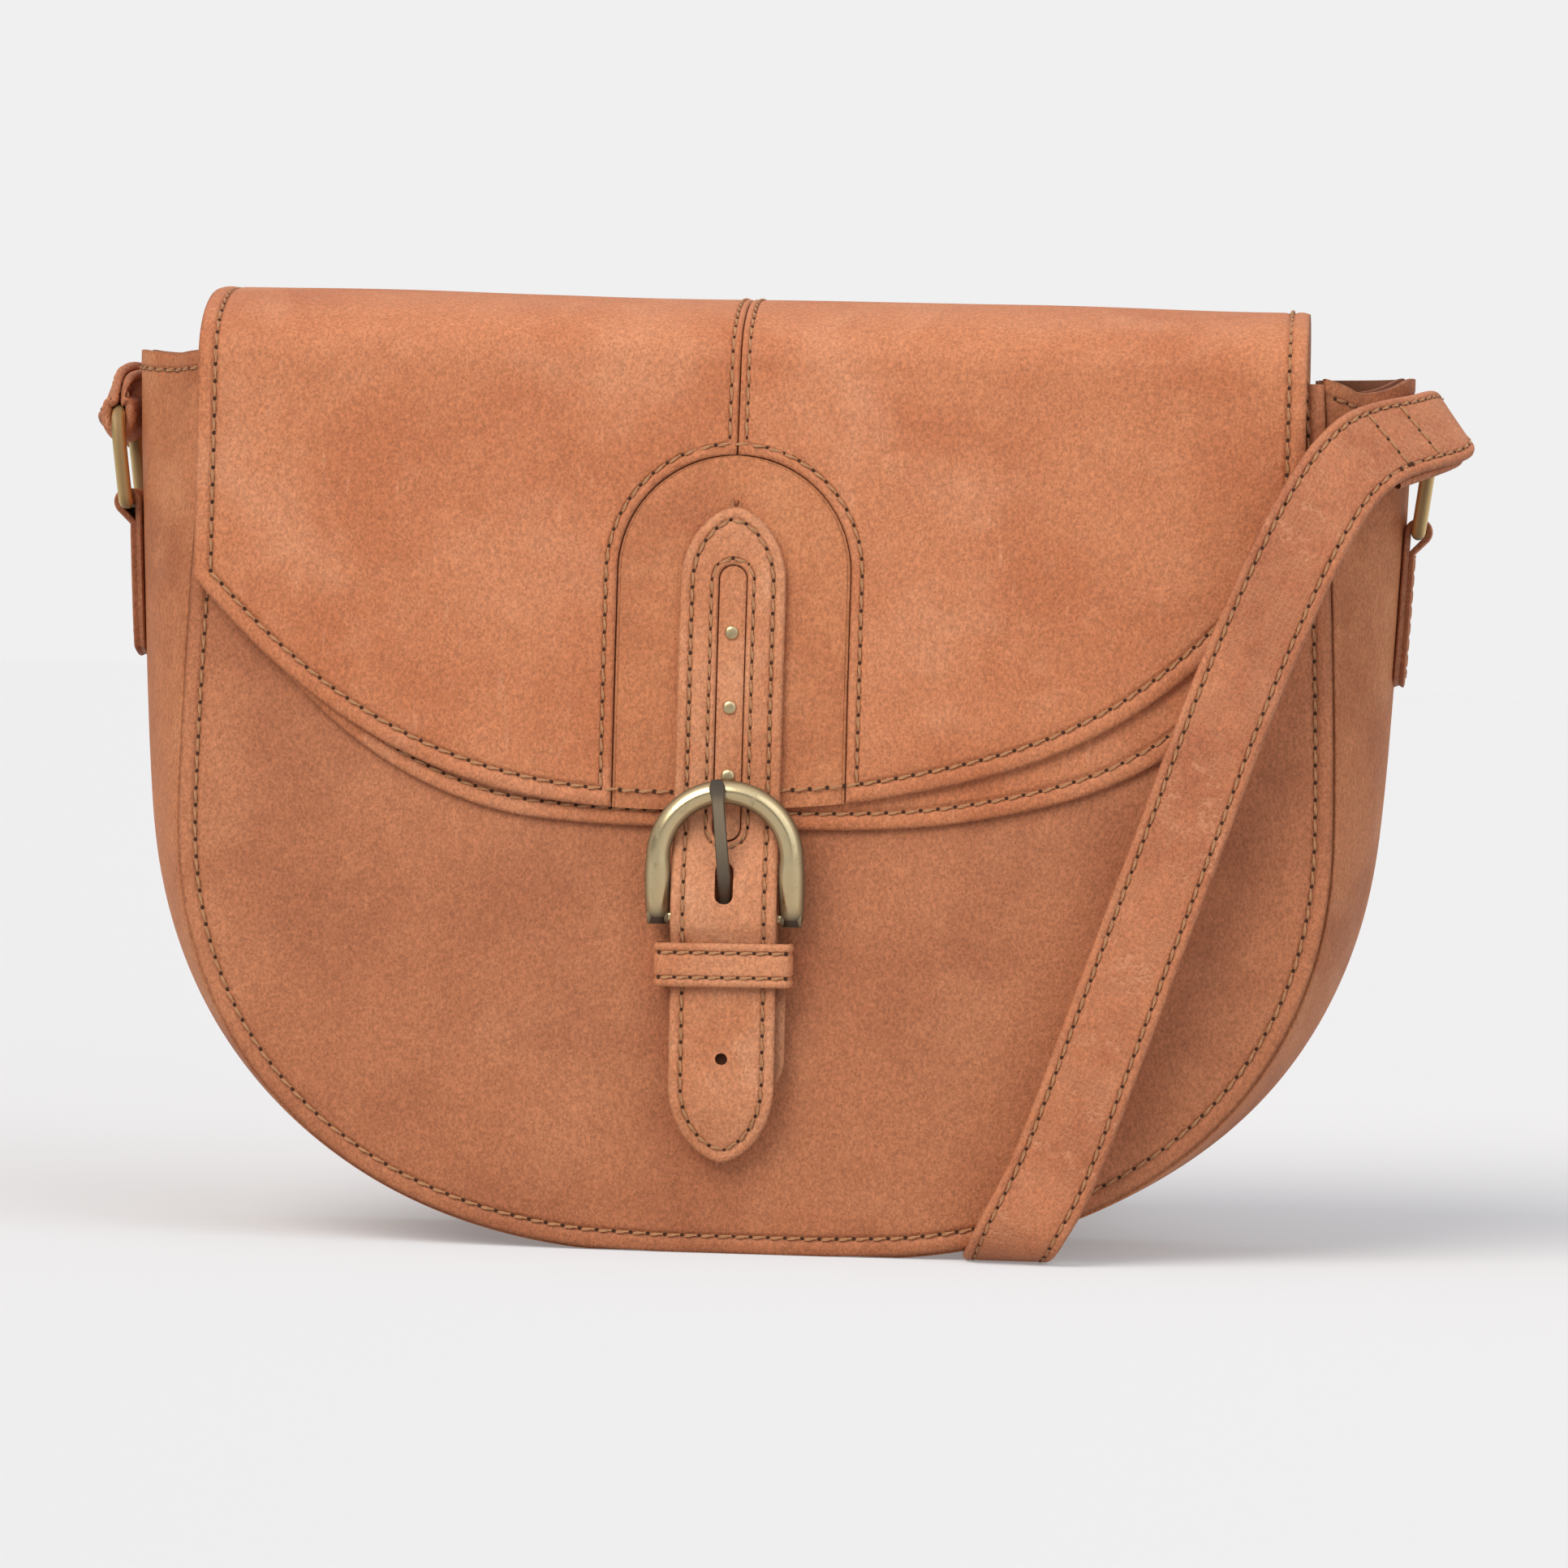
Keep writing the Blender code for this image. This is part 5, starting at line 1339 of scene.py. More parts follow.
def aged_brass(name, colour, tarnish_and_shade, gloss=0.30):
    """Cast brass with brown spots and brown patina in its hollows, kept in its tarnish layer together
    with the painted shade that darkens the sides of each swept wire. Its grain is drawn coarser than a
    real casting's, so that it shows."""
    mat = new_material(name)
    place = add_node(mat, "ShaderNodeTexCoord").outputs["Object"]
    cloud, fine = (
        add_node(mat, "ShaderNodeTexNoise", {
            "Vector": place, "Scale": 1000 / size_mm, "Detail": detail, "Roughness": rough}).outputs[0]
        for size_mm, detail, rough in ((BRASS_CLOUD_MM, 4.0, 0.6), (BRASS_GRAIN_MM, 2.0, 0.5)))
    # the tarnish layer holds brown patina and the painted shade on the sides of swept wire
    worn = add_node(mat, "ShaderNodeAttribute", attribute_name="tarnish_and_shade").outputs["Fac"]
    spots = add_node(mat, "ShaderNodeMapRange", {
        "Value": cloud, "From Min": 0.56, "From Max": 0.74, "To Min": 0.0, "To Max": 0.55})
    amount = add_node(mat, "ShaderNodeMath", {0: spots.outputs[0], 1: worn}, operation="MAXIMUM",
                      use_clamp=True).outputs[0]
    tone = add_node(mat, "ShaderNodeMix", {0: amount, 6: linear(colour), 7: linear(tarnish_and_shade)},
                    data_type="RGBA")
    rough = add_node(mat, "ShaderNodeMapRange", {
        "Value": amount, "From Min": 0.0, "From Max": 1.0, "To Min": gloss, "To Max": 0.60})
    relief = add_node(mat, "ShaderNodeBump", {"Height": fine, "Strength": 0.25, "Distance": 0.00005})
    bare = add_node(mat, "ShaderNodeMath", {0: 1.0, 1: amount}, operation="SUBTRACT")
    return finish_material(mat, add_node(mat, "ShaderNodeBsdfPrincipled", {
        "Base Color": tone.outputs[2], "Roughness": rough.outputs[0], "Metallic": bare.outputs[0],
        "Normal": relief.outputs[0]}))


buckle_brass = aged_brass("aged_pale_brass", "#dfca9c", "#38240f", 0.25)
rivet_brass = aged_brass("pale_rivet_brass", "#d3bd92", "#4a3a28", 0.34)
for word, height in zip(("top", "middle", "bottom"), RIVET_HEIGHTS):
    head_mesh = bmesh.new()
    bmesh.ops.create_uvsphere(head_mesh, u_segments=20, v_segments=10, radius=1)
    lift = eased(strap_knots, height) + SLOT_INLAY_THICKNESS + SEAT_GAP
    foot = Vector((FLAP_SHIFT, front_y(0, height, lift), height))
    for vert in head_mesh.verts:
        x, y, z = vert.co / (math.hypot(vert.co.x, vert.co.z) ** 4 + vert.co.y**4) ** 0.25
        vert.co = foot + Vector((x * RIVET_RADIUS, y * RIVET_CROWN, z * RIVET_RADIUS))
    rivet = add_piece("rivet_" + word + "_brass", head_mesh, rivet_brass, "flap")
    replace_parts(rivet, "rivet_" + word)


# Chape: a doubled strip under the closure strap, folded round the buckle's bar, with a gap for the
# prong. The stud of the magnetic snap sits on its back, and the socket on the front panel.

CHAPE_CORNER = 0.009
CHAPE_SET = 0.0022
CHAPE_CELLS = 10
CHAPE_EDGE = 0.0003
CHAPE_END_ROWS = (0.0003, 0.0010)
CHAPE_FLAT_TO = BAR_HEIGHT - 0.004
CHAPE_DEGREES = range(50, 281, 11)
SNAP_RADIUS = 0.007
SNAP_HEIGHT = 0.053
# (share of the radius, share of half the thickness) from the back's middle round to the front
SNAP_PROFILE = ((0.0, -1), (1.0, -1), (1.0, 0.4), (0.95, 1), (0.72, 1), (0.68, 0.7), (0.30, 0.7))
chape_rest = chape_front - CHAPE_WALL / 2
chape_root = chape_back + CHAPE_WALL / 2
fold_radius = loop_radius - CHAPE_WALL / 2


def chape_path():
    """(height, lift) of the strip's middle, from its front end round the bar to its back end."""
    run = [CHAPE_BOTTOM + up for up in CHAPE_END_ROWS] + line_between(CHAPE_BOTTOM, CHAPE_FLAT_TO, 22)[1:]
    fold = [(BAR_HEIGHT - fold_radius * math.cos(turn), bar_lift + fold_radius * math.sin(turn))
            for turn in map(math.radians, CHAPE_DEGREES)]
    return [(z, chape_rest) for z in run] + fold + [(z, chape_root) for z in reversed(run)]


chape_line = chape_path()


def chape_half(z):
    past = min(max(CHAPE_BOTTOM + CHAPE_CORNER - z, 0), CHAPE_CORNER)
    return STRAP_WIDTH / 2 - CHAPE_CORNER + math.sqrt(CHAPE_CORNER**2 - past**2)


def chape_place(side, column, row):
    z, lift = chape_line[row]
    gap = PRONG_WIDTH / 2 + PRONG_HOLE_PLAY if z > BAR_HEIGHT - loop_radius - SEAT_GAP else 0
    x = side * (chape_half(z) + (gap - chape_half(z)) * column / CHAPE_CELLS)
    below_keeper = min(max((KEEPER_TOP - z) / KEEPER_HEIGHT, 0), 1)
    return Vector((FLAP_SHIFT + x + CHAPE_SET * below_keeper, front_y(0, z, lift), z))


chape_mesh = two_halves(CHAPE_CELLS, len(chape_line) - 1, chape_place)
bmesh.ops.recalc_face_normals(chape_mesh, faces=chape_mesh.faces)
chape_rim = chape_mesh.verts.layers.float.new("rim_mm")
for vert in chape_mesh.verts:
    vert[chape_rim] = 1000 * (chape_half(vert.co.z) - abs(vert.co.x - FLAP_SHIFT))
chape = add_piece("buckle_chape_leather", chape_mesh, strap_nubuck, "flap")
wall(chape, CHAPE_WALL, CHAPE_EDGE, 0)
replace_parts(chape, "buckle_chape")

snap_rise = front_y(0, SNAP_HEIGHT + SNAP_RADIUS, 0) - front_y(0, SNAP_HEIGHT - SNAP_RADIUS, 0)
snap_slope = math.atan2(snap_rise, 2 * SNAP_RADIUS)
for word, lift, body, facing, knob in (("socket", SEAT_GAP, "bag", 1, 0.2),
                                       ("stud", 2 * SEAT_GAP + SNAP_DISC, "flap", -1, 1.0)):
    disc = bmesh.new()
    ring = [disc.verts.new((share * SNAP_RADIUS, 0, rise * SNAP_DISC / 2))
            for share, rise in (*SNAP_PROFILE, (0.26, knob), (0.0, knob))]
    for first, second in zip(ring, ring[1:]):
        disc.edges.new((first, second))
    bmesh.ops.spin(disc, geom=disc.verts[:] + disc.edges[:], axis=(0, 0, 1), cent=(0, 0, 0),
                   angle=math.tau, steps=48, use_merge=True)
    bmesh.ops.remove_doubles(disc, verts=disc.verts, dist=WELD)
    bmesh.ops.recalc_face_normals(disc, faces=disc.faces)
    middle = Vector((FLAP_SHIFT, front_y(0, SNAP_HEIGHT, lift + SNAP_DISC / 2), SNAP_HEIGHT))
    way = facing * Vector((0, -math.cos(snap_slope), math.sin(snap_slope)))
    turn = Vector((0, 0, 1)).rotation_difference(way).to_matrix().to_4x4()
    disc.transform(Matrix.Translation(middle) @ turn)
    snap = add_piece("snap_" + word + "_brass", disc, buckle_brass, body)
    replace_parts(snap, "snap_" + word)


# Buckle frame: a horseshoe cast in brass with a soft ridge along its front; the sides of its wire are
# darkened with painted shade. Its legs bend back to the bar, on which it swings, and end rounded and
# darkened.

FRAME_WIDTH = 0.038
FRAME_EDGE = 0.0003
FRAME_LEG_END = 0.94
FRAME_LEG_SWELL = 0.12
LEG_ENDS = (-0.12, -0.09, -0.04)
LEG_KNOTS = ((0, 0), (0.35, 0.5), (0.75, 0.9), (1, 1))
LEG_ROUND_FROM = -0.04
LEG_TARNISH_FADE = 3.4
EYE_TARNISH = 0.75
# painted shade on the sides of a swept wire: how dark, and from what share across it starts
EDGE_PAINTED_SHADE = 0.9
SIDE_SHADE_START = 0.62
frame_half = (FRAME_WIDTH - FRAME_WIRE) / 2
wire_radius = FRAME_WIRE / 2
frame_lift = strap_rest + STRAP_THICKNESS + SEAT_GAP + wire_radius
frame_arc_height = FRAME_TOP - wire_radius - frame_half
bar_middle = Vector((FLAP_SHIFT, front_y(0, BAR_HEIGHT, bar_lift), BAR_HEIGHT))
# (angle from the front in degrees, reach in wire radii) of the casting's section
FRAME_SECTION = ((0, 1.0), (16, 0.985), (34, 0.97), (52, 0.99), (72, 1.02), (90, 1.03), (108, 1.02),
                 (128, 0.98), (150, 0.93), (180, 0.90))


def frame_stations():
    """(place, across radius, out radius, tarnish) from the bar's left end over the top to its right end."""
    left = []
    for up in (*LEG_ENDS, *line_between(0, 0.999, 12)):
        out = eased(LEG_KNOTS, up)
        z = BAR_HEIGHT + (frame_arc_height - BAR_HEIGHT) * up
        swell = FRAME_LEG_SWELL * math.sin(math.pi * max(up, 0)) ** 0.6
        size = (FRAME_LEG_END + (1 - FRAME_LEG_END) * out + swell) * (1 + 2 * min(up - LEG_ROUND_FROM, 0))
        y = front_y(0, z, bar_lift + (frame_lift - bar_lift) * out)
        left.append((Vector((FLAP_SHIFT - frame_half, y, z)), wire_radius * size, wire_radius * min(size, 1),
                     min(max(1 - LEG_TARNISH_FADE * up, 0), 1)))
    arc = []
    for turn in line_between(0, math.pi, 48):
        z = frame_arc_height + frame_half * math.sin(turn)
        arc.append((Vector((FLAP_SHIFT - frame_half * math.cos(turn), front_y(0, z, frame_lift), z)),
                    wire_radius, wire_radius, 0.0))
    right = [(Vector((2 * FLAP_SHIFT - at.x, at.y, at.z)), *rest) for at, *rest in reversed(left)]
    return left + arc + right


def to_front(place):
    return Vector((0, -1, 0))


def swept(stations, section, front_at, cyclic=False):
    """A casting along stations of (place, across radius, out radius, tarnish); the section is a
    closed ring of (across, out) shares, and front_at(place) the way its front faces."""
    bm = bmesh.new()
    count, around = len(stations), len(section)

    def place_at(column, row):
        place, wide, deep, tarnish_and_shade = stations[row % count]
        if cyclic:
            before, after = stations[row % count - 1][0], stations[(row + 1) % count][0]
        else:
            before, after = stations[max(row - 1, 0)][0], stations[min(row + 1, count - 1)][0]
        forward = (after - before).normalized()
        front = front_at(place)
        front = (front - forward * front.dot(forward)).normalized()
        a, b = section[column % around]
        # painted shade: the sides of the section are darkened, in the tarnish layer
        edge = EDGE_PAINTED_SHADE * min(max(abs(a) - SIDE_SHADE_START, 0) / (1 - SIDE_SHADE_START), 1)
        return place + front.cross(forward) * a * wide + front * b * deep, max(tarnish_and_shade, edge)

    shape_grid(bm, around, count if cyclic else count - 1, place_at, "tarnish_and_shade")
    bmesh.ops.remove_doubles(bm, verts=bm.verts, dist=WELD)
    if not cyclic:
        bmesh.ops.holes_fill(bm, edges=[edge for edge in bm.edges if edge.is_boundary])
    bmesh.ops.recalc_face_normals(bm, faces=bm.faces)
    return bm


half_ring = [(reach * math.sin(math.radians(angle)), reach * math.cos(math.radians(angle)))
             for angle, reach in FRAME_SECTION]
frame_mesh = swept(frame_stations(), half_ring + [(-a, b) for a, b in reversed(half_ring[1:-1])], to_front)
for side, _ in SIDES:
    for vert in add_rod(frame_mesh, bar_middle + Vector((side * frame_half, 0, 0)),
                        0.7 * wire_radius, 0.9 * FRAME_WIRE, 28, "Y"):
        vert[frame_mesh.verts.layers.float["tarnish_and_shade"]] = EYE_TARNISH
add_rod(frame_mesh, bar_middle, BAR_RADIUS, 2 * frame_half, 24, "Y")
buckle_frame = add_piece("buckle_frame_brass", frame_mesh, buckle_brass, "buckle")
soften_edges(buckle_frame, FRAME_EDGE, 2)
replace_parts(buckle_frame, "buckle_frame")


# Prong: a flat tongue of darker brass with a ring round the bar. It passes the strap's hole and rests
# on the frame, where its tip curls over.

PRONG_THICKNESS = 0.0018
PRONG_WALL = 0.0012
PRONG_LEAN = 0.0030
PRONG_LEAN_FROM = 0.3
PRONG_START = 0.06
PRONG_SQUARENESS = (0.75, 0.85)
# (from where along the prong, by how much of its width, over what share of its length) it changes
PRONG_TAPER = ((0, -0.12, 1), (0.84, 0.35, 0.1), (0.94, -0.7, 0.06))
# how dark the prong is coloured along its length: dark where it leaves the strap's hole and at its tip,
# palest just below the frame
PRONG_DARKENING = ((0, 0.8), (0.35, 0.7), (0.6, 0.35), (0.8, 0.15), (0.9, 0.8), (1, 0.9))
COLLAR_TARNISH = 0.7
collar_reach = BAR_RADIUS + BAR_PLAY + PRONG_WALL
collar_radius = collar_reach - PRONG_WALL / 2
prong_rest = frame_lift + wire_radius + SEAT_GAP + PRONG_THICKNESS / 2
prong_knots = (
    (0.0, bar_lift + 0.3 * collar_reach),
    (0.11, strap_over_bar - 1.1 * PRONG_THICKNESS),
    (0.20, strap_over_bar - 0.2 * PRONG_THICKNESS),
    (0.34, strap_over_bar + STRAP_THICKNESS + 0.1 * PRONG_THICKNESS),
    (0.60, prong_rest - 0.45 * PRONG_THICKNESS),
    (0.85, prong_rest),
    (1.0, prong_rest - 0.15 * PRONG_THICKNESS),
)
prong_length = FRAME_TOP + SEAT_GAP - BAR_HEIGHT
prong_stations = []
for share in line_between(PRONG_START, 1, 40):
    z = BAR_HEIGHT + prong_length * share
    x = FLAP_SHIFT - PRONG_LEAN * max(share - PRONG_LEAN_FROM, 0)
    place = Vector((x, front_y(0, z, eased(prong_knots, share)), z))
    width = 1 + sum(amount * max(share - start, 0) / reach for start, amount, reach in PRONG_TAPER)
    prong_stations.append((place, PRONG_WIDTH / 2 * width, PRONG_THICKNESS / 2, eased(PRONG_DARKENING, share)))
round_section = [tuple(map(signed_power, (math.sin(turn), math.cos(turn)), PRONG_SQUARENESS))
                 for turn in line_between(0, math.tau, 16)[:-1]]
prong_mesh = swept(prong_stations, round_section, to_front)
collar = [(bar_middle + collar_radius * Vector((0, math.cos(turn), math.sin(turn))),
           PRONG_WIDTH / 2, PRONG_WALL / 2, COLLAR_TARNISH) for turn in line_between(0, math.tau, 32)[:-1]]
collar_mesh = swept(collar, round_section, lambda place: (place - bar_middle).normalized(), True)
collar_data = bpy.data.meshes.new("collar")
collar_mesh.to_mesh(collar_data)
collar_mesh.free()
prong_mesh.from_mesh(collar_data)
prong_brass = aged_brass("aged_grey_brass", "#a8977c", "#2c201a", 0.26)
prong = add_piece("buckle_prong_brass", prong_mesh, prong_brass, "prong")
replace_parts(prong, "buckle_prong")


# Keeper: a loop of doubled nubuck round the strap and the chape, sewn with two rows of stitches and
# tilted a little, as it sits in the photo.

KEEPER_WIDTH = 0.0334
KEEPER_WALL = 0.0012
KEEPER_ROUND = 0.0022
KEEPER_SEAM = 0.0024
KEEPER_TILT = 0.012
KEEPER_STEP = 0.0012
KEEPER_EDGE = 0.0003
KEEPER_EDGE_ROWS = (0, 0.0004, 0.0009, 0.0015, 0.0021, 0.0027, 0.0034, 0.0044)
keeper_near = chape_back - SEAT_GAP - KEEPER_WALL
keeper_far = strap_in_keeper + KEEPER_SLACK + STRAP_THICKNESS + SEAT_GAP + KEEPER_WALL
keeper_y = front_y(0, KEEPER_TOP - KEEPER_HEIGHT / 2, 0)
keeper_rows = [*KEEPER_EDGE_ROWS, 0.0054, *[KEEPER_HEIGHT - at for at in reversed(KEEPER_EDGE_ROWS)]]


def keeper_ring():
    """Points (x, lift, 0) round the keeper's outer face, a rectangle with round corners."""
    side = KEEPER_WIDTH / 2 - KEEPER_ROUND
    near, far = keeper_near + KEEPER_ROUND, keeper_far - KEEPER_ROUND
    return [Vector((x + KEEPER_ROUND * math.cos(turn), lift + KEEPER_ROUND * math.sin(turn), 0))
            for x, lift, start in ((side, far, 0), (-side, far, 90), (-side, near, 180), (side, near, 270))
            for turn in map(math.radians, line_between(start, start + 90, 7))]


def keeper_at(x, lift, up):
    return Vector((FLAP_SHIFT + x, keeper_y - lift, KEEPER_TOP - KEEPER_HEIGHT + up + KEEPER_TILT * x))


def keeper_place(column, row):
    spot, up = keeper_line[column % len(keeper_line)], keeper_rows[row]
    return keeper_at(spot.x, spot.y, up), 1000 * min(up, KEEPER_HEIGHT - up) * STITCH_INSET / KEEPER_SEAM


keeper_points = keeper_ring()
keeper_line = dense(keeper_points + keeper_points[:1], KEEPER_STEP)[:-1]
keeper_mesh = bmesh.new()
shape_grid(keeper_mesh, len(keeper_line), len(keeper_rows) - 1, keeper_place, "rim_mm")
bmesh.ops.remove_doubles(keeper_mesh, verts=keeper_mesh.verts, dist=WELD)
face_out(keeper_mesh, Vector((0, -1, 0)))
roll_over(keeper_mesh)
keeper = add_piece("keeper_loop_leather", keeper_mesh, strap_nubuck, "flap")
wall(keeper, KEEPER_WALL, KEEPER_EDGE)
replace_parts(keeper, "keeper_loop")
reach = KEEPER_WIDTH / 2 - 0.6 * KEEPER_ROUND
for word, up in (("lower", KEEPER_SEAM), ("upper", KEEPER_HEIGHT - KEEPER_SEAM)):
    row = [keeper_at(x, keeper_far, up) for x in line_between(-reach, reach, 20)]
    sew("keeper_row_" + word, row, to_front, "flap", STRAP_PITCH)


# D-rings: yellow brass wire bent to a D and soldered shut, one at each side, leaning outwards from
# the tab it turns in.

RING_WIRE = 0.0035
RING_WIDTH = 0.0305
RING_RISE = 0.0225
RING_LEAN = 0.13
RING_BOW_POWER = 0.36
RING_BAR_HEIGHT = 0.180
RING_STEP = 0.0011
TAB_LOOP_WALL = 0.0015
ring_wire_radius = RING_WIRE / 2
tab_loop_radius = ring_wire_radius + BAR_PLAY + TAB_LOOP_WALL


def crease_x(z):
    return half_width(z) + bulge(z)


ring_x = crease_x(RING_BAR_HEIGHT) + SEAT_GAP + tab_loop_radius
ring_brass = aged_brass("bright_yellow_brass", "#e3c386", "#7a5c34", 0.24)
circle = [(math.sin(turn), math.cos(turn)) for turn in line_between(0, math.tau, 16)[:-1]]
for side, word in SIDES:
    places = []
    for turn in line_between(0, math.pi, 64):
        y = (RING_WIDTH - RING_WIRE) / 2 * signed_power(math.cos(turn), RING_BOW_POWER)
        rise = RING_RISE * max(math.sin(turn), 0) ** RING_BOW_POWER
        places.append(Vector((side * (ring_x + RING_LEAN * rise), y, RING_BAR_HEIGHT + rise)))
    places = stations_along(places + places[:1], RING_STEP)[:-1]
    ring_mesh = swept([(at, ring_wire_radius, ring_wire_radius, 0.0) for at in places], circle,
                      lambda place, side=side: Vector((side, 0, 0)), True)
    ring = add_piece("d_ring_" + word + "_brass", ring_mesh, ring_brass, "ring_" + word)
    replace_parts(ring, "ring_" + word)


# Ring tabs: a strip of strap leather folded round each ring's straight side and sewn down flat on
# the gusset's crease, with stitches along both edges and across its foot.

TAB_WIDTH = 0.021
TAB_FOOT = 0.142
TAB_THICKNESS = 0.003
TAB_LAYER = 0.00145
TAB_SEAM = 0.0026
TAB_CELLS = 24
TAB_FLAT_TO = RING_BAR_HEIGHT - 0.0052
TAB_SEAM_TOP = RING_BAR_HEIGHT - 0.006
TAB_END_ROWS = (0, 0.0004, 0.0009, 0.0016, 0.0026, 0.0036)
TAB_EVEN_FROM = TAB_FOOT + 0.005
TAB_DEGREES = range(-50, 181, 11)
TAB_ROUND = 0.0022
TAB_ROUND_REACH = 0.01
TAB_SWELL = 0.6
TAB_FOOT_RIM = 0.0001
TAB_EDGE = 0.0003
tab_shares = graded(TAB_WIDTH, TAB_CELLS)


def tab_path():
    """(distance out of the crease's own x, height) of the tab's middle layer, foot to foot."""
    out = SEAT_GAP + TAB_THICKNESS - TAB_LAYER / 2
    back = SEAT_GAP + TAB_LAYER / 2
    centre = SEAT_GAP + tab_loop_radius
    radius = tab_loop_radius - TAB_LAYER / 2
    run = [TAB_FOOT + up for up in TAB_END_ROWS] + line_between(TAB_EVEN_FROM, TAB_FLAT_TO, 14)
    fold = [(centre + radius * math.cos(turn), RING_BAR_HEIGHT + radius * math.sin(turn))
            for turn in map(math.radians, TAB_DEGREES)]
    return [(out, z) for z in run] + fold + [(back, z) for z in reversed(run)]


tab_line = tab_path()
tab_nubuck = nubuck("cognac_nubuck_tab", "#ad6b49", "#bb7652", "#ca8862", cloud_mm=20.0)
for side, word in SIDES:
    def tab_place(column, row, side=side):
        y = (tab_shares[column] - 0.5) * TAB_WIDTH
        out, z = tab_line[row]
        rounded = TAB_ROUND * (2 * y / TAB_WIDTH) ** 2 * max(1 - (z - TAB_FOOT) / TAB_ROUND_REACH, 0)
        rim = max(min(TAB_WIDTH / 2 - abs(y), z - TAB_FOOT + TAB_FOOT_RIM), 0)
        return (side * (crease_x(z) + out), y, z + rounded), 1000 * rim * STITCH_INSET / TAB_SEAM

    tab_mesh = bmesh.new()
    shape_grid(tab_mesh, TAB_CELLS, len(tab_line) - 1, tab_place, "rim_mm")
    face_out(tab_mesh, Vector((side, 0, 0)))
    roll_over(tab_mesh, TAB_SWELL)
    tab = add_piece("ring_tab_" + word + "_leather", tab_mesh, tab_nubuck, "bag")
    wall(tab, TAB_LAYER, TAB_EDGE, 0)
    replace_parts(tab, "ring_tab_" + word)
    reach, low = TAB_WIDTH / 2 - TAB_SEAM, TAB_FOOT + TAB_SEAM
    corners = ((-reach, TAB_SEAM_TOP), (-reach, low), (reach, low), (reach, TAB_SEAM_TOP),
               (-reach, TAB_SEAM_TOP))
    row = [Vector((side * (crease_x(at.z) + SEAT_GAP + TAB_THICKNESS), at.y, at.z))
           for at in dense([Vector((0, *corner)) for corner in corners], BOX_STEP)]
    sew("ring_tab_" + word + "_row", row, lambda place, side=side: Vector((side, 0, 0)), "bag",
        STRAP_PITCH)


# Shoulder strap: a long strap of the same hide, creased by use and stitched along both edges. Each end
# is folded round its ring and sewn with two rows; between them the strap crosses the front, runs under
# the bag, lies folded in a stack behind it and climbs the back.

SHOULDER_WIDTH = 0.0214
SHOULDER_THICKNESS = 0.0022
SHOULDER_SEAM = 0.0026
FRONT_STAND_OFF = 0.0095
STACK_LENGTH = 0.095
SEWN_SHARE = 0.82
STACK_BEND = 0.003
STACK_LAYERS = 4
ROUTE_STEPS = 8
EYE_DEGREES = (110, 150, 210, 270, 330, 390, 430)
SECTION_STEPS = (0, 0.0002, 0.0006, 0.0011, 0.0016, 0.0021, 0.0026, 0.0031, 0.0037, 0.0046,
                 0.0062, 0.0084)
SECTION_ROUND = 0.0012
GROOVE_DEPTH = 0.00026
PILLOW_HEIGHT = 0.00010
PILLOW_PLACE = SHOULDER_SEAM / 2
SWELL_REACH = 0.0006
MIDDLE_RIM_MM = 18.0
ROW_SINK = 0.0001
EDGE_THREAD_SINK = 0.00012
CROSS_THREAD_SINK = 0.00002
END_STATION = 13 * ROUTE_STEPS
EYE_STATION = 11 * ROUTE_STEPS
CROSS_PLACES = (("first", 11.38), ("second", 11.75))
eye_radius = ring_wire_radius + SEAT_GAP + SHOULDER_THICKNESS / 2
eye_room = 0.14 * RING_RISE
ring_top_x = ring_x + RING_LEAN * RING_RISE
ring_top_z = RING_BAR_HEIGHT + RING_RISE
mouth_half = MOUTH_WIDTH / 2
front = BODY_DEPTH / 2 + FRONT_STAND_OFF
floor_run = SHOULDER_THICKNESS / 2 + SEAT_GAP


def right_end(ahead):
    """(place, width direction) of the sewn end: the folded-back layer, the eye, the strap's start.
    The folded layer ends a little before ahead, the strap's next place."""
    lower = ((ring_top_x + 1.3 * eye_radius, -0.12 * BODY_DEPTH, ring_top_z + 1.7 * eye_radius),
             (-0.35, 0.75, 0.55))
    upper = ((ring_top_x + 0.5 * eye_radius, -0.32 * BODY_DEPTH, ring_top_z + eye_radius),
             (-0.62, 0.30, 0.72))
    eye = []
    for turn in map(math.radians, EYE_DEGREES):
        reach = eye_radius + (eye_room if math.sin(turn) < 0 else 0)
        eye.append(((ring_top_x + eye_radius * math.cos(turn), 0, ring_top_z + reach * math.sin(turn)),
                    (0, 1, 0)))
    layer_gap = SHOULDER_THICKNESS + 2 * SEAT_GAP
    beyond = tuple(tuple(Vector(a).lerp(Vector(b), SEWN_SHARE)) for a, b in zip(upper, ahead))
    along = Vector(upper[0]) - Vector(eye[-1][0])
    folded = []
    for place, width in (beyond, upper, lower):
        beneath = along.cross(Vector(width)).normalized() * layer_gap
        folded.append((tuple(Vector(place) + beneath), width))
    return folded + eye + [lower, upper, ahead]


def half_turned(route):
    """The same end at the left ring: turned half round about Z and run backwards."""
    return [((-x, -y, z), (a, b, -c)) for (x, y, z), (a, b, c) in reversed(route)]


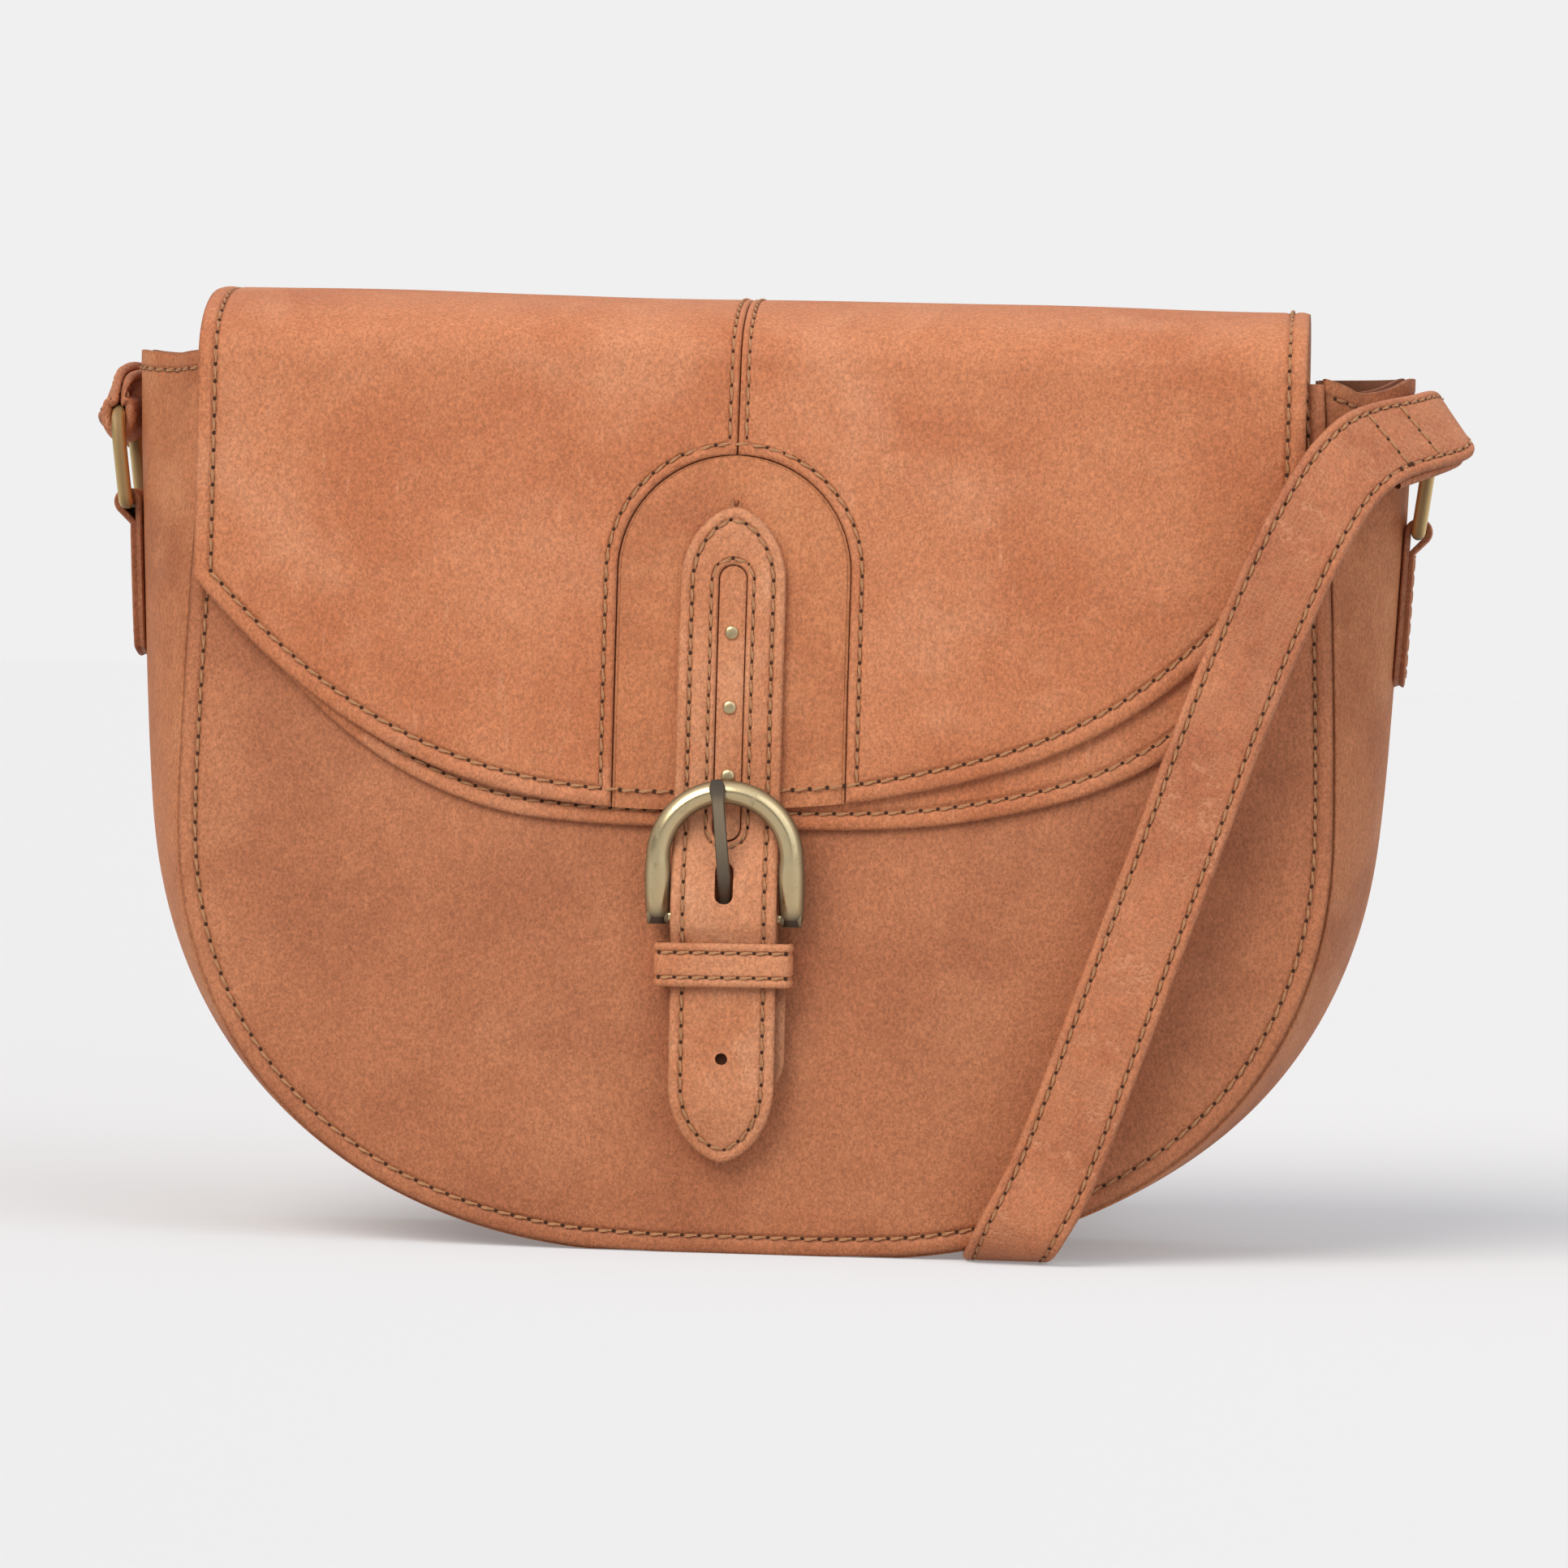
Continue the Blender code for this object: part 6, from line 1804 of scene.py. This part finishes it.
def right_route():
    wall_y = front + FRONT_CROWN
    return right_end(((1.08 * mouth_half, -0.95 * front, 0.925 * PANEL_HEIGHT), (-0.66, 0.05, 0.74))) + [
        ((0.985 * mouth_half, -wall_y, 0.84 * PANEL_HEIGHT), (-0.78, 0, 0.60)),
        ((0.87 * mouth_half, -1.02 * wall_y, 0.67 * PANEL_HEIGHT), (-0.89, 0, 0.45)),
        ((0.765 * mouth_half, -1.03 * wall_y, 0.48 * PANEL_HEIGHT), (-0.90, 0, 0.43)),
        ((0.66 * mouth_half, -1.0 * wall_y, 0.29 * PANEL_HEIGHT), (-0.90, 0, 0.43)),
        ((0.565 * mouth_half, -0.94 * wall_y, 0.12 * PANEL_HEIGHT), (-0.92, 0, 0.38)),
        ((0.50 * mouth_half, -0.90 * wall_y, 0.035 * PANEL_HEIGHT), (-0.97, 0, 0.2)),
    ]


def stack_route():
    """The flat run under the bag and the loose stack of folds behind it."""
    x, behind = 0.475 * mouth_half, BODY_DEPTH / 2
    route = [((x, y, floor_run), (-1, 0, 0)) for y in (-0.8 * front, -0.3 * front, 0.5 * behind)]
    near = behind + 6 * STACK_BEND
    far = near + STACK_LENGTH
    for layer in range(STACK_LAYERS):
        z = floor_run + 2 * STACK_BEND * layer
        begin, stop = (near, far) if layer % 2 == 0 else (far, near)
        route += [((x, begin + 0.25 * (stop - begin) * n, z), (-1, 0, 0)) for n in range(5)]
        if layer < STACK_LAYERS - 1:
            turn = STACK_BEND * (1 if stop > begin else -1)
            route.append(((x, stop + turn, z + STACK_BEND), (-1, 0, 0)))
    return route


def left_route():
    top = floor_run + 2 * STACK_BEND * (STACK_LAYERS - 1)
    wall_y = BODY_DEPTH / 2 + BACK_CROWN
    return [
        ((0.44 * mouth_half, wall_y + 4 * STACK_BEND, top + 3 * STACK_BEND), (-1, 0, 0)),
        ((0.34 * mouth_half, wall_y + 3 * STACK_BEND, 0.30 * PANEL_HEIGHT), (-0.93, 0, -0.37)),
        ((-0.05 * mouth_half, wall_y + 3 * STACK_BEND, 0.47 * PANEL_HEIGHT), (-0.78, 0, -0.62)),
        ((-0.45 * mouth_half, wall_y + 3 * STACK_BEND, 0.64 * PANEL_HEIGHT), (-0.70, 0, -0.71)),
        ((-0.82 * mouth_half, wall_y + 3 * STACK_BEND, 0.80 * PANEL_HEIGHT), (-0.62, 0, -0.78)),
    ] + half_turned(right_end(((1.06 * mouth_half, -wall_y - 2.2 * STACK_BEND, 0.885 * PANEL_HEIGHT),
                               (-0.60, 0.1, 0.79))))


def smooth(values, at):
    """Catmull-Rom curve through a list of vectors, at a position counted in list places."""
    index = min(int(at), len(values) - 2)
    t = at - index
    before = values[max(index - 1, 0)]
    first, second = values[index], values[index + 1]
    after = values[min(index + 2, len(values) - 1)]
    return (first * 2 + (second - before) * t + (before * 2 - first * 5 + second * 4 - after) * t**2
            + (first * 3 - before - second * 3 + after) * t**3) / 2


strap_route = right_route() + stack_route() + left_route()
strap_places = [Vector(place) for place, _ in strap_route]
strap_widths = [Vector(width) for _, width in strap_route]
strap_stations = []
for n in range((len(strap_route) - 1) * ROUTE_STEPS + 1):
    place = smooth(strap_places, n / ROUTE_STEPS)
    width = smooth(strap_widths, n / ROUTE_STEPS).normalized()
    place.z = max(place.z, floor_run + abs(width.z) * SHOULDER_WIDTH / 2)
    strap_stations.append((place, width))


def strap_frame(index):
    """Place, width direction and outward direction of a station."""
    place, width = strap_stations[index]
    ahead = strap_stations[min(index + 1, len(strap_stations) - 1)][0]
    behind = strap_stations[max(index - 1, 0)][0]
    return place, width, width.cross(ahead - behind).normalized()


def shoulder_section():
    """(across, out, rim distance in mm) round the strap's section, rolled over and grooved at each seam."""
    face = []
    for at in SECTION_STEPS:
        roll = math.sqrt(1 - max(1 - at / SECTION_ROUND, 0) ** 2)
        groove = GROOVE_DEPTH * math.exp(-((at - SHOULDER_SEAM) / SWELL_REACH) ** 2)
        pillow = PILLOW_HEIGHT * math.exp(-((at - PILLOW_PLACE) / SWELL_REACH) ** 2)
        face.append((SHOULDER_WIDTH / 2 - at, SHOULDER_THICKNESS / 2 * roll - groove + pillow * roll,
                     1000 * at * STITCH_INSET / SHOULDER_SEAM))
    across = face + [(0, SHOULDER_THICKNESS / 2, MIDDLE_RIM_MM)]
    across += [(-a, b, rim) for a, b, rim in reversed(face)]
    return across + [(a, -b, rim) for a, b, rim in reversed(across[1:-1])]


shoulder_ring = shoulder_section()
shoulder_nubuck = nubuck("cognac_nubuck_shoulder_strap", "#b46d4a", "#c87f57", "#da9871", cloud_mm=26.0,
                         crackle=True)
seam_across = SHOULDER_WIDTH / 2 - SHOULDER_SEAM


def strap_run(name, first, last, body):
    """The strap and its edge stitches between two stations."""
    def place_at(column, row):
        across, out, rim = shoulder_ring[column % len(shoulder_ring)]
        place, width, face = strap_frame(first + row)
        return place + width * across + face * out, rim

    bm = bmesh.new()
    shape_grid(bm, len(shoulder_ring), last - first, place_at, "rim_mm")
    bmesh.ops.remove_doubles(bm, verts=bm.verts, dist=WELD)
    bmesh.ops.recalc_face_normals(bm, faces=bm.faces)
    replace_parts(add_piece(name + "_leather", bm, shoulder_nubuck, body), "shoulder_strap")
    tree = kdtree.KDTree(last - first + 1)
    for index in range(first, last + 1):
        tree.insert(strap_stations[index][0], index)
    tree.balance()
    for layer, face_side in (("outer", 1), ("inner", -1)):
        for edge, side in (("near", -1), ("far", 1)):
            row = []
            for index in range(first, last + 1):
                place, width, face = strap_frame(index)
                row.append(place + width * side * seam_across
                           + face * face_side * (SHOULDER_THICKNESS / 2 - ROW_SINK))
            sew(f"{name}_{layer}_{edge}_row", row,
                lambda place, face_side=face_side: face_side * strap_frame(tree.find(place)[1])[2],
                body, STRAP_PITCH, EDGE_THREAD_SINK)


last_station = len(strap_stations) - 1
right_bend = ("bag", "ring_right", strap_stations[END_STATION][0], strap_stations[EYE_STATION][0])
left_bend = ("bag", "ring_left", strap_stations[last_station - END_STATION][0],
             strap_stations[last_station - EYE_STATION][0])
strap_run("shoulder_strap_right_end", 0, END_STATION, right_bend)
strap_run("shoulder_strap_middle", END_STATION, last_station - END_STATION, "bag")
strap_run("shoulder_strap_left_end", last_station - END_STATION, last_station, left_bend)

for word, bend, flip in (("right", right_bend, False), ("left", left_bend, True)):
    for row_word, at in CROSS_PLACES:
        index = round(at * ROUTE_STEPS)
        place, width, face = strap_frame(last_station - index if flip else index)
        row = [place + face * SHOULDER_THICKNESS / 2 + width * reach
               for reach in line_between(-seam_across, seam_across, 10)]
        sew(f"shoulder_strap_{word}_{row_word}_cross", row, lambda place, face=face: face, bend,
            STRAP_PITCH, CROSS_THREAD_SINK)
